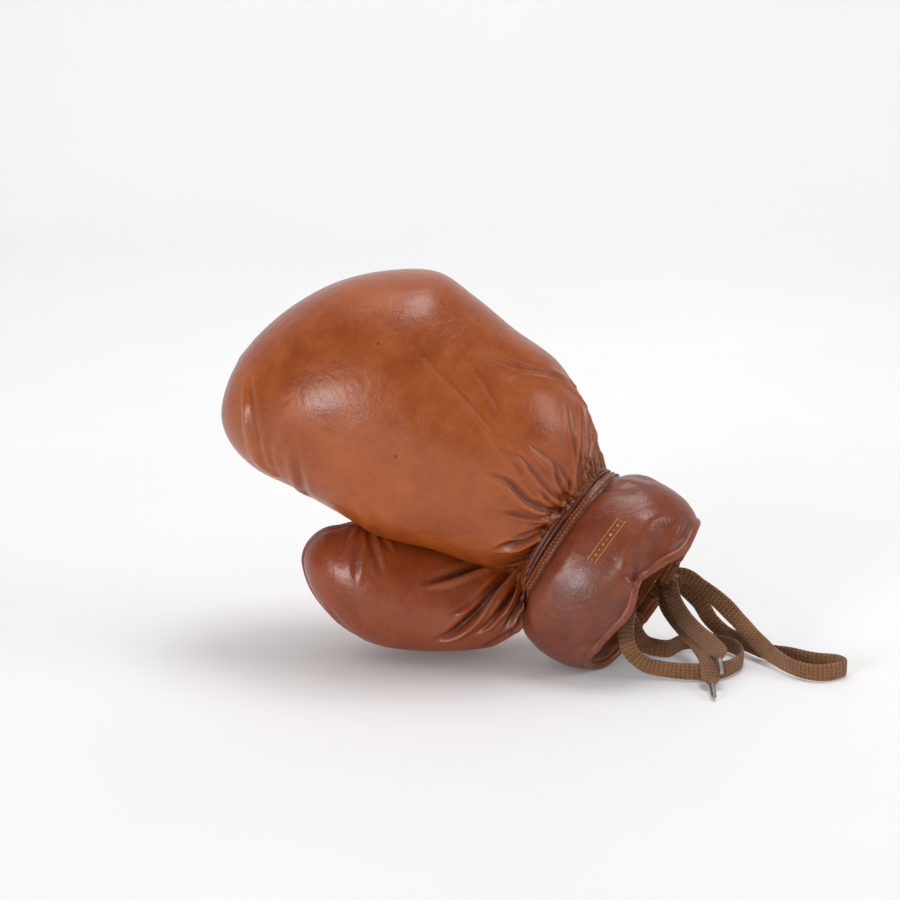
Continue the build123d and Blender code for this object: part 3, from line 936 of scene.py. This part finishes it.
def slit_angle(side, share):
    """The angle of a flap's free edge, beside the lacing slit, for each share from wrist to rim."""
    z = WRIST_Z + np.asarray(share) * (-60 - WRIST_Z)
    rows = cuff_ovals(z)
    edge = SLIT_X + side * SLIT_HALF
    angle = -np.arccos(np.clip((edge - rows[..., 0]) / rows[..., 1], -1, 1))
    return angle if side > 0 else angle + 2 * math.pi


CUFF_ROWS, BACK_COLUMNS, FLAP_COLUMNS = 90, 230, 70
FLAP_SIDE = {"thumb_flap": 1, "cuff_back": 0, "little_flap": -1}
# Folds of the cuff: places as (degrees, share of the way to the rim), then as for the fist
CUFF_FOLDS = [
    ([(146, 0.78), (124, 0.84), (109, 0.92), (98, 1.0)], 6.0, 2.4, 0.35),
    ([(116, 0.70), (107, 0.84), (99, 1.0)], 4.0, 1.3, 0.4),
    ([(94, 0.80), (96, 0.90), (98, 1.0)], 2.2, 1.0, 0.5),
    ([(160, 0.93), (138, 0.94), (120, 0.97)], 3.0, 1.2, 0.4, 0.4),
    ([(60, 0.90), (76, 0.93), (90, 0.98)], 3.5, 1.2, 0.4, 0.3),
    ([(34, 0.80), (42, 0.90), (46, 1.0)], 3.0, 1.0, 0.4),
    ([(20, 0.45), (28, 0.28), (34, 0.10)], 4.0, 1.0, 0.4),
    ([(150, 0.40), (142, 0.24), (138, 0.10)], 4.0, 0.9, 0.4),
    ([(170, 0.5), (168, 0.3), (172, 0.12)], 5.0, 1.2, 0.4),
    ([(225, 0.6), (222, 0.35), (226, 0.12)], 5.0, 1.2, 0.4),
    ([(-35, 0.6), (-32, 0.35), (-36, 0.12)], 5.0, 1.2, 0.4),
]


def cuff_line(places):
    return [cuff_point(math.radians(degrees), share) for degrees, share in places]


def cuff_columns():
    """Shares and angles of the whole cuff as one sheet, from slit to slit, and the three stretches of it."""
    share = np.linspace(0, 1, CUFF_ROWS)
    u = np.linspace(0, 1, FLAP_COLUMNS)
    thumb_cut, little_cut = cut_angle(1), cut_angle(-1)
    thumb_slit, little_slit = slit_angle(1, share)[:, None], slit_angle(-1, share)[:, None]
    back = np.broadcast_to(np.linspace(thumb_cut, little_cut, BACK_COLUMNS), (CUFF_ROWS, BACK_COLUMNS))
    thumb = thumb_slit + (thumb_cut - thumb_slit) * u
    little = little_cut + (little_slit - little_cut) * u
    angle = np.concatenate([thumb[:, :-1], back, little[:, 1:]], axis=1)
    share = np.broadcast_to(share[:, None], angle.shape)
    first, last = FLAP_COLUMNS - 1, FLAP_COLUMNS + BACK_COLUMNS - 2
    return share, angle, {"thumb_flap": slice(0, first + 1), "cuff_back": slice(first, last + 1),
                          "little_flap": slice(last, None)}


def wall(share, angle):
    """Thickness of the cuff's wall: padded in its middle, thin at the rim and beside the slit."""
    padded = 4.4 * smoothstep((1 - share) / 0.35)
    x = CUFF.read(cuff_point(angle, share))[0]
    palm = np.sin(angle) < -0.3
    from_slit = np.where(palm, np.abs(x - SLIT_X) - SLIT_HALF, 99)
    return RIM_WALL - 0.6 + padded * smoothstep((from_slit - STAY_WIDTH + 4) / 6)


def cuff_surface(share, angle):
    """Points, heights and shade of the cuff's outside, with its folds pressed in."""
    points, normals = cuff_point(angle, share), cuff_normal(angle, share)
    flat, flat_normals = points.reshape(-1, 3), normals.reshape(-1, 3)
    height, shade = np.zeros(len(flat)), np.zeros(len(flat))
    press((height, shade, flat, flat_normals), CUFF_FOLDS, cuff_line)
    x, y, z = CUFF.read(flat)
    degrees = np.degrees(angle.ravel())
    height += 0.45 * waves(degrees * 0.42, z * 0.05, SEED, 2) * np.exp(-((z + 12) / 6)**2)
    height += 0.45 * waves(x * 0.05, z * 0.06, SEED + 5, 2) * smoothstep((-z - 10) / 10)
    beside = np.abs(np.abs(x - SLIT_X) - SLIT_HALF - STAY_WIDTH)
    stay_edge = np.where(y < 0, np.exp(-(beside / 1.3)**2), 0)
    height -= 1.2 * stay_edge
    # Painted shade: the folds' shade, and darkening in the groove below the stitched strip, in the grooves
    # beside the eyelet stays and at the rim under the binding
    shade *= 0.7
    shade = np.maximum(shade, 0.55 * np.exp(-((z + 8.8) / 1.5)**2))
    shade = np.maximum(shade, 0.5 * stay_edge)
    shade = np.maximum(shade, 0.8 * np.exp(-((1 - share.ravel()) * 60 / 2.2)**2))
    outside = (flat + flat_normals * height[:, None]).reshape(points.shape)
    return outside, height.reshape(share.shape), shade.reshape(share.shape)


def sheet_normals(grid, centre):
    normals = unit(np.cross(np.gradient(grid, axis=0), np.gradient(grid, axis=1)))
    return normals * np.sign(np.sum(normals * (grid - centre)))


def strip_sweep(outside, normals, rows, depth, thickness=1.0, points=8, gap=0.2):
    """A thin closed strip on the inside of the cuff, from a row of each column to the rim, depth under it."""
    loops = []
    for column in range(outside.shape[1]):
        first = rows[column]
        table = np.column_stack([outside[first:, column], normals[first:, column], depth[first:, column]])
        places = np.linspace(0, len(table) - 1, points)
        table = np.stack([np.interp(places, np.arange(len(table)), values) for values in table.T], axis=-1)
        line, inward, under = table[:, :3], table[:, 3:6], table[:, 6:]
        low, high = line - inward * (under - gap), line - inward * (under + thickness)
        loops.append(np.concatenate([low, high[::-1]]))
    return np.array(loops)


def rides_of(stretch):
    """The back rides on the cuff. A flap gets a blend from the cuff at the cut to its own body a little past
    it; piece only bakes the flap's transform.
    """
    side = FLAP_SIDE[stretch]
    if not side:
        return {"body": "cuff"}
    body = "thumb_side_flap" if side > 0 else "little_side_flap"
    x = 59 * side
    return {"blend": ("cuff", body, CUFF.at(x, FLAP_CUT_Y, -30), CUFF.at(x, FLAP_CUT_Y - 12, -30))}


def leather_tube(name, path, radius, up, replaces, rides, rub=0.3):
    """A rolled leather edge along a path."""
    steps = np.concatenate([[0], np.cumsum(np.linalg.norm(np.diff(path, axis=0), axis=1))])
    wobble = 1 + 0.08 * waves(steps / 5, 0, SEED)
    mesh = joined([tube_part(tube_grid(path, radius * wobble, sides=18, up=up, flat=0.9))])
    zeros = np.zeros(len(mesh.vertices))
    piece(name, mesh, BINDING_LEATHER, "binding", replaces=replaces, shade=zeros + 0.04, ridge=zeros + rub,
          **rides)


def build_stretch(name, outside, inside, normals, depth, facing_rows, shade, ridge):
    """One stretch of the cuff: its skin, lining, rolled rim and facing, and a flap's rolled free edge."""
    rides = rides_of(name)
    mesh = grid_mesh(f"{name}_skin", outside, wrap=False)
    a_face = 500
    if np.dot(mesh.polygons[a_face].normal, normals.reshape(-1, 3)[a_face]) < 0:
        mesh.flip_normals()
    mesh.normals_split_custom_set_from_vertices(normals.reshape(-1, 3).tolist())
    piece(f"{name}_skin", mesh, CUFF_LEATHER, "leather_cuff", replaces=(f"{name}_leather", f"{name}_pad"),
          shade=shade, ridge=ridge, **rides)
    mesh = grid_mesh(f"{name}_inner", inside[::-1], wrap=False)
    piece(f"{name}_inner", mesh, DARK_LINING, "lining", replaces=(f"{name}_lining",), **rides)
    rim = outside[-1] * 0.65 + inside[-1] * 0.35 + 0.3 * CUFF.z
    leather_tube(f"{name}_binding", rim, 2.75, normals[-1], (f"{name}_rim_binding",), rides)
    mesh = joined([tube_part(strip_sweep(outside, normals, facing_rows, depth))])
    piece(f"{name}_facing", mesh, FACING, "facing", **rides)
    if FLAP_SIDE[name]:
        edge = 0 if FLAP_SIDE[name] > 0 else -1
        path = (outside[:, edge] + inside[:, edge]) / 2
        leather_tube(f"{name}_slit_binding", path[4:], 2.1, normals[4:, edge], (), rides, rub=0.2)


def build_cuff():
    share, angle, stretches = cuff_columns()
    outside, height, shade = cuff_surface(share, angle)
    normals = sheet_normals(outside, CUFF.at(-3, 0, -30))
    depth = wall(share, angle)
    inside = outside - normals * depth[..., None]
    column = np.arange(angle.shape[1])
    scallop = 3 * np.abs(np.sin(column * 0.45)) + 1.5 * waves(column * 0.2, 0, 3)
    back = stretches["cuff_back"]
    on_back = (column >= back.start) & (column < back.stop)
    facing_rows = (CUFF_ROWS - np.where(on_back, 9, 15) + scallop).astype(int)
    ridge = np.clip(height / 1.5, 0, 1) * 0.5
    for name, columns in stretches.items():
        sheets = (sheet[:, columns] for sheet in (outside, inside, normals, depth))
        build_stretch(name, *sheets, facing_rows[columns], shade[:, columns], ridge[:, columns])
    return outside, normals, angle, stretches


cuff_outside, cuff_normals, cuff_angles, cuff_stretches = build_cuff()


# ---------------------------------------------------------------- thread and gold on the cuff

def on_cuff(name, angle, z):
    """Points and normals on the finished outside of one stretch of the cuff."""
    columns = cuff_stretches[name]
    share = (z - WRIST_Z) / (rim_z(angle) - WRIST_Z)
    places = []
    for i, one_angle in zip(np.clip(share * (CUFF_ROWS - 1), 0, CUFF_ROWS - 1.001), angle):
        line = cuff_angles[int(i), columns]
        order = np.argsort(line)
        places.append((i, np.interp(one_angle, line[order], np.arange(len(line))[order])))
    points, normals = (np.array([read_grid(sheet[:, columns], *place) for place in places])
                       for sheet in (cuff_outside, cuff_normals))
    return points, unit(normals)


THREAD_ROWS, THREAD_SLANTS = (-4.5, -6.8), (0.55, -0.55)
THREAD_PITCH, THREAD_LENGTH, THREAD_RADIUS, THREAD_LIFT = 2.1, 1.8, 0.33, 0.22


def build_wrist_thread():
    """Two rows of small slanted stitches along the strip below the welt."""
    for name, columns in cuff_stretches.items():
        line = cuff_angles[8, columns]
        low, high = line.min() + 0.03, line.max() - 0.03
        count = int((high - low) * 43 / THREAD_PITCH)
        angle = np.linspace(low, high, count)
        rows = []
        for z, slant in zip(THREAD_ROWS, THREAD_SLANTS):
            points, normals = on_cuff(name, angle, z)
            round_ = unit(np.gradient(points, axis=0))
            rows.append((points, round_ + slant * CUFF.z, normals))
        places, directions, normals = (np.concatenate(columns_) for columns_ in zip(*rows))
        mesh = stitches(places, directions, normals, THREAD_LENGTH, THREAD_RADIUS, THREAD_LIFT)
        piece(f"{name}_thread", mesh, THREAD, "thread", replaces=(f"{name}_stitches",), **rides_of(name))


RULE_ENDS = math.radians(91), math.radians(121)
RULES_Z, DIAMONDS_Z, DIAMONDS = (-27.7, -32.3), -30.0, 9


def build_ornament():
    """Two thin gold rules with a row of small diamonds between them, pressed into the back of the cuff."""
    parts = []
    first, last = RULE_ENDS
    for z in RULES_Z:
        points, normals = on_cuff("cuff_back", np.linspace(first, last, 60), z)
        parts.append(tube_part(tube_grid(points, 0.3, sides=8, up=normals, flat=0.4)))
    points, normals = on_cuff("cuff_back", np.linspace(first + 0.02, last - 0.02, DIAMONDS), DIAMONDS_Z)
    round_ = unit(np.gradient(points, axis=0))
    for number, (point, normal, tangent) in enumerate(zip(points, normals, round_)):
        size = 1.25 if number % 2 else 0.7
        across = np.cross(normal, tangent)
        corners = [point + size * (tangent * c + across * s) + 0.02 * normal
                   for c, s in ((1, 0), (0, 1), (-1, 0), (0, -1))]
        shape = np.array(corners + [point + 0.28 * normal, point - 0.3 * normal])
        faces = [[k, (k + 1) % 4, 4] for k in range(4)] + [[(k + 1) % 4, k, 5] for k in range(4)]
        parts.append((shape, faces))
    piece("cuff_gold_rules", joined(parts), GOLD_FOIL, "thread", body="cuff")


build_wrist_thread()
build_ornament()


# ---------------------------------------------------------------- wrist welt

def build_welt():
    """The rolled seam between fist and cuff: a dark cord with a thinner one beside it."""
    angle = np.linspace(0, 2 * math.pi, 260, endpoint=False)
    parts = []
    for z, grow, radius in ((0.5, 1.4, 1.55), (-1.9, 2.3, 0.85)):
        path = CUFF.at(-7 + (40 + grow) * np.cos(angle), (33 + grow) * np.sin(angle), z)
        wobble = 1 + 0.10 * waves(angle * 12, z, SEED + 1)
        parts.append(tube_part(tube_grid(path, radius * wobble, closed=True), closed=True))
    mesh = joined(parts)
    ones = np.ones(len(mesh.vertices))
    piece("wrist_welt_cord", mesh, WELT_LEATHER, "binding", replaces=("wrist_welt",), body="cuff",
          shade=0.15 * ones, ridge=0.2 * ones)


build_welt()


# ---------------------------------------------------------------- laces

LACE_WIDTH, LACE_THICKNESS = 10.2, 2.5
RIBBON_STEP, RIBBON_SIDES = 1.1, 20
UP, ASIDE = (0, 0, 1), (1, 0, 0)
# Each lace: rows of (x, y, z, direction of its width)
LONG_LOOP = [
    (141, 19, 41.5, (0.3, 0.1, 1)), (149, 17, 41.5, (0.2, 0, 1)), (158, 14, 36, (0.45, 0, 0.9)),
    (168, 9, 29, (0.6, 0, 0.8)), (179, 0, 19.5, (0.6, 0, 0.8)), (188, -12, 12, (0.5, 0, 0.9)),
    (197, -27, 7.5, (0.25, 0, 1)), (206, -41, 5.8, UP), (218, -50, 5.6, UP), (229, -47, 5.6, UP),
    (235.5, -40, 5.6, UP), (232, -33, 5.6, UP), (220, -28.5, 5.6, UP), (206, -20.5, 5.6, UP),
    (194, -14, 5.8, UP), (186, -5, 5.8, UP), (180.5, 5, 6, UP), (172, 13, 8, (0.3, 0, 1)),
    (164, 16.5, 15, (0.7, 0, 0.7)), (157, 17, 26, (0.85, 0, 0.5)), (150, 19.5, 33, (0.8, 0, 0.6)),
    (143, 20, 39, (0.8, 0, 0.6)),
]
SHORT_LOOP = [
    (108, -6, 36, ASIDE), (112, -14, 34, ASIDE), (112.5, -25, 33, ASIDE), (111, -34, 28.5, (1, 0, 0.1)),
    (111, -38.5, 22, (1, 0, 0.1)), (114, -42, 15, (0.9, 0, 0.4)), (122, -44.5, 8.5, (0.5, 0, 0.9)),
    (135, -46, 6, UP), (152, -49, 6, UP), (167, -45, 6, UP), (176, -33, 6, UP), (179, -18, 6, UP),
    (174, -3, 6, UP), (162, 4, 6, UP), (148, 3, 6, UP), (136, -9, 6, UP), (124, -8, 8.5, (0.4, 0, 0.9)),
    (118, -13, 17.5, (0.9, 0, 0.4)), (115, -12, 24, (1, 0, 0.2)), (111, -7, 31, (1, 0, 0.2)),
]
TAIL_A = [
    (138.5, 19, 42, (0.8, 0, 0.5)), (139.5, 15, 36, (0.9, 0, 0.4)), (141.5, 8, 29.5, (0.9, 0, 0.5)),
    (146, -2, 23, (0.8, 0, 0.6)), (152, -16, 19.5, (0.8, 0, 0.6)), (158.5, -30, 17, (0.8, 0, 0.6)),
    (163, -42, 15, (0.95, 0, 0.3)), (163, -50, 13, ASIDE),
]
TAIL_B = [
    (136, 17, 36, (0.9, 0, 0.4)), (138, 12, 26, (0.9, 0, 0.4)), (143, 3, 19.5, (0.9, 0, 0.4)),
    (150, -12, 15, (0.8, 0, 0.6)), (154.5, -28, 12.8, (0.8, 0, 0.6)), (156.5, -42, 11.8, (0.9, 0, 0.3)),
    (157.3, -52, 9.8, ASIDE), (157.5, -61, 5.5, ASIDE), (157.5, -68, 4.4, ASIDE),
]


def ribbon_line(rows, seed):
    """The middle of a lace at even steps: its place, width and normal directions and distance along it."""
    table = np.array([(x, y, z, *unit(width)) for x, y, z, width in rows])
    knots = np.concatenate([[0], np.cumsum(np.linalg.norm(np.diff(table[:, :3], axis=0), axis=1))])
    length = np.linspace(0, knots[-1], int(knots[-1] / RIBBON_STEP))
    read = hermite(table, knots, length)
    path, width = read[:, :3], read[:, 3:]
    tangents = unit(np.gradient(path, axis=0))
    width = unit(width - tangents * np.sum(width * tangents, axis=1, keepdims=True))
    normal = np.cross(tangents, width)
    lean = 0.10 * waves(length / 14, 0, SEED + seed)[:, None]
    leant = width * np.cos(lean) + normal * np.sin(lean)
    return path, leant, normal * np.cos(lean) - width * np.sin(lean), length


def ribbon_part(rows, narrow_start=False, narrow_end=False, width_mm=LACE_WIDTH, seed=0):
    """A flat braided lace through the rows, a little thicker at its edges, with slack and twist."""
    path, width, normal, length = ribbon_line(rows, seed)
    half = width_mm / 2 * (0.96 + 0.13 * waves(length / 11, 3, SEED + seed + 1))
    if narrow_end:
        half *= 1 - 0.72 * smoothstep((length - length[-1] + 9) / 9)
    if narrow_start:
        half *= 1 - 0.6 * smoothstep((6 - length) / 6)
    angle = np.linspace(0, 2 * math.pi, RIBBON_SIDES, endpoint=False)
    flat_x = np.sign(np.cos(angle)) * np.abs(np.cos(angle))**0.75
    flat_y = np.sin(angle) * (0.78 + 0.22 * np.abs(flat_x)**3) * LACE_THICKNESS / 2
    cup = 0.9 * waves(length / 13, 7, SEED + seed + 2)
    across = half[:, None] * flat_x
    lift = flat_y + cup[:, None] * flat_x**2
    grid = path[:, None] + width[:, None] * across[..., None] + normal[:, None] * lift[..., None]
    uv = np.stack(np.broadcast_arrays((flat_x + 1) / 2, length[:, None]), axis=-1).reshape(-1, 2)
    return tube_part(grid), uv


def lace(name, ribbons, replaces, body):
    """A piece of lace made of one or more ribbons."""
    mesh = joined([part for part, _ in ribbons])
    uv = np.concatenate([uv for _, uv in ribbons])
    corners = np.zeros(len(mesh.loops), np.int32)
    mesh.loops.foreach_get("vertex_index", corners)
    mesh.uv_layers.new(name="UVMap").data.foreach_set("uv", uv[corners].astype(np.float32).ravel())
    piece(name, mesh, LACE, "lace", replaces=replaces, body=body)


EYELET_Z = (-13, -26, -39, -52)
RUNG_WIDTH, WRAP_WIDTH = 8.0, 7.0
HOLE_CLEARANCE = 3.6


def eyelet_places(node):
    """Middles and outward directions of a row of eyelets, from wrist to rim, read from the CAD node."""
    co = np.array([v.co for v in frame["nodes"][node].data.vertices]) / MM
    z = CUFF.read(co)[2]
    nearest = np.argmin(np.abs(z[:, None] - np.array(EYELET_Z)), axis=1)
    rings = [co[nearest == k] for k in range(len(EYELET_Z))]
    middles = np.array([(ring.max(0) + ring.min(0)) / 2 for ring in rings])
    x, y, z = CUFF.read(middles)
    return middles, unit(CUFF.at(x + 3, y * 2.2, 0) - CUFF.origin)


def rung(a, a_out, b, b_out, rise, seed):
    """A lace from one eyelet to another, out of the first hole and into the second."""
    middle = (a + b) / 2 + (a_out + b_out) / 2 * rise
    places = (a - a_out, a + a_out * HOLE_CLEARANCE, middle, b + b_out * HOLE_CLEARANCE, b - b_out)
    rows = [(*place, CUFF.z) for place in places]
    return ribbon_part(rows, narrow_start=True, width_mm=RUNG_WIDTH, seed=seed)


def build_rungs():
    """The laced part: a bar at the wrist, then crosses down to the rim, then two runs to the knot."""
    thumb, thumb_out = eyelet_places("thumb_flap_eyelets")
    little, little_out = eyelet_places("little_flap_eyelets")
    parts = [rung(thumb[0], thumb_out[0], little[0], little_out[0], 4.6, 20)]
    for k in range(len(EYELET_Z) - 1):
        parts.append(rung(thumb[k], thumb_out[k], little[k + 1], little_out[k + 1], 4.8, 21 + k))
        parts.append(rung(little[k], little_out[k], thumb[k + 1], thumb_out[k + 1], 7.4, 31 + k))
    knot = joint_point("long_loop_lift")
    for place, out, seed in ((thumb[-1], thumb_out[-1], 41), (little[-1], little_out[-1], 42)):
        on_the_way = (place + out * 3.4) * 0.45 + knot * 0.55
        rows = [(*point, CUFF.z) for point in (place - out, place + out * 3.2, on_the_way, knot)]
        parts.append(ribbon_part(rows, narrow_start=True, width_mm=RUNG_WIDTH, seed=seed))
    lace("lace_crossings", parts, ("lace_rungs",), "cuff")


def build_knot():
    """The lace wrapped twice round itself, where the loops and ends leave it."""
    knot = joint_point("long_loop_lift")
    axis = unit(np.array((0.75, -0.5, -0.35)))
    side = unit(np.cross(axis, (0, 0, 1)))
    top = np.cross(side, axis)
    parts = []
    for turn, (offset, tilt) in enumerate(((-2.4, 0.25), (2.2, -0.3))):
        rows = []
        for degrees in range(0, 400, 40):
            a = math.radians(degrees)
            turned = side * math.cos(a) + top * math.sin(a)
            place = knot + axis * (offset + tilt * 4 * math.sin(a)) + 4.6 * turned
            rows.append((*place, axis))
        parts.append(ribbon_part(rows, width_mm=WRAP_WIDTH, seed=50 + turn))
    lace("lace_wrap", parts, ("lace_knot",), "cuff")


def build_aglet(name, rows, node, body):
    """A metal tip, crimped on the end of a lace."""
    end = np.array(rows[-1][:3])
    way = unit(end - np.array(rows[-2][:3]))
    share = np.linspace(0, 1, 27)
    path = end - way * 1.5 + np.outer(share * 15.5, way)
    radius = 1.75 - 0.35 * share - 0.22 * (np.sin(share * 40) > 0.75) - 0.7 * smoothstep((share - 0.9) / 0.1)
    mesh = joined([tube_part(tube_grid(path, radius, sides=14, up=np.cross(way, (1, 0, 0)), flat=0.72))])
    piece(name, mesh, AGLET_METAL, "aglet", replaces=(node,), body=body)


def build_laces():
    lace("lace_loop_long", [ribbon_part(LONG_LOOP, seed=11)], ("lace_long_loop",), "long_loop")
    eyelet, out = (rows[-1] for rows in eyelet_places("thumb_flap_eyelets"))
    inside = [(*(eyelet - out * 2), ASIDE), (*(eyelet - out * 9 + CUFF.z * 2), ASIDE)]
    hanging = inside + SHORT_LOOP + inside[::-1]
    lace("lace_loop_short", [ribbon_part(hanging, seed=12)], ("lace_short_loop",), "short_loop")
    for end, rows, seed in (("a", TAIL_A, 13), ("b", TAIL_B, 14)):
        tail = f"tail_{end}"
        lace(f"lace_end_{end}", [ribbon_part(rows, narrow_end=True, seed=seed)], (f"lace_{tail}",), tail)
        build_aglet(f"lace_tip_{end}", rows, f"aglet_{end}", tail)
    build_rungs()
    build_knot()


build_laces()


# ---------------------------------------------------------------- CAD nodes that stay, with their own finish

def dress(nodes, material):
    for name in nodes:
        mesh = frame["nodes"][name].data
        mesh.materials.clear()
        mesh.materials.append(material)


dress(["hand_lining"], DARK_LINING)
dress(["wrist_neck"], WELT_LEATHER)
dress(["tongue"], FACING)
dress(["thumb_flap_eyelets", "little_flap_eyelets"], EYELET_METAL)
dress(["thumb_flap_eyelet_stay", "little_flap_eyelet_stay"], CUFF_LEATHER)


# ---------------------------------------------------------------- floor, light and camera

FLOOR_FRONT, FLOOR_BACK, FLOOR_CURVE, FLOOR_TOP, FLOOR_HALF_WIDTH = -9.0, 1.2, 1.2, 4.0, 8.0


def stage_floor():
    """A pale sheet that runs under the glove and curves up behind it, in metres."""
    profile = [(FLOOR_FRONT, 0.0), (FLOOR_BACK, 0.0)]
    for degrees in range(5, 91, 5):
        a = math.radians(degrees)
        profile.append((FLOOR_BACK + FLOOR_CURVE * math.sin(a), FLOOR_CURVE * (1 - math.cos(a))))
    profile.append((FLOOR_BACK + FLOOR_CURVE, FLOOR_TOP))
    points = np.array([(x, y, z) for y, z in profile for x in (-FLOOR_HALF_WIDTH, FLOOR_HALF_WIDTH)])
    faces = [(2 * i, 2 * i + 1, 2 * i + 3, 2 * i + 2) for i in range(len(profile) - 1)]
    mesh = smooth_mesh("studio_sheet", points, faces)
    s = Shader("studio_paper")
    color = s.mix(s.ramp(s.noise(3.0, 3), 0.3, 0.7), srgb(239, 239, 239), srgb(236, 236, 236))
    grain = s.bump(s.noise(800, 3), 0.02, 0.0001)
    mesh.materials.append(s.finish(color, 0.85, grain, Specular_IOR_Level=0.1))
    obj = bpy.data.objects.new("studio_sheet", mesh)
    bpy.context.scene.collection.objects.link(obj)


def aimed(name, data, place, target):
    """Adds a lamp or camera that looks from a place at a target."""
    obj = bpy.data.objects.new(name, data)
    obj.location = place
    obj.rotation_mode = "QUATERNION"
    obj.rotation_quaternion = (Vector(target) - Vector(place)).to_track_quat("-Z", "Y")
    bpy.context.scene.collection.objects.link(obj)
    return obj


def area_light(name, place, target, size, power):
    data = bpy.data.lights.new(name, "AREA")
    data.shape, data.size, data.energy = "SQUARE", size, power
    aimed(name, data, place, target)


MIDDLE = (0.02, 0.0, 0.10)
# Each lamp: its name, place, target, size and power
LAMPS = [
    ("window", (-1.2, -1.6, 0.5), MIDDLE, 0.62, 18),
    ("overhead", (0.35, 0.05, 1.9), MIDDLE, 0.75, 10),
    ("side", (1.7, -0.35, 0.85), MIDDLE, 0.6, 6.5),
    ("backdrop", (0.0, 0.7, 2.3), (0.0, 2.3, 0.9), 1.6, 18),
]
ROOM_LIGHT, ROOM_SHINE = 0.56, 0.10
CAMERA_ELEVATION, CAMERA_DISTANCE, CAMERA_LENS = 15, 1.6, 112.3
CAMERA_TARGET = (0.0114, 0, 0.1222)


def studio():
    stage_floor()
    for lamp in LAMPS:
        area_light(*lamp)
    world = bpy.data.worlds.new("studio")
    bpy.context.scene.world = world
    world.use_nodes = True
    nodes, links = world.node_tree.nodes, world.node_tree.links
    background = nodes["Background"]
    background.inputs["Color"].default_value = (1.0, 1.0, 1.0, 1)
    # A dark room in reflections, so that only the lamps and the sheet shine in the leather
    path, strength = nodes.new("ShaderNodeLightPath"), nodes.new("ShaderNodeMapRange")
    strength.inputs["To Min"].default_value = ROOM_LIGHT
    strength.inputs["To Max"].default_value = ROOM_SHINE
    links.new(path.outputs["Is Glossy Ray"], strength.inputs["Value"])
    links.new(strength.outputs["Result"], background.inputs["Strength"])


def camera():
    elevation = math.radians(CAMERA_ELEVATION)
    target = Vector(CAMERA_TARGET)
    look = Vector((0, math.cos(elevation), -math.sin(elevation)))
    data = bpy.data.cameras.new("camera")
    data.sensor_width = 36
    data.lens = CAMERA_LENS
    bpy.context.scene.camera = aimed("camera", data, target - look * CAMERA_DISTANCE, target)
    bpy.context.scene.view_settings.view_transform = "Standard"


studio()
camera()
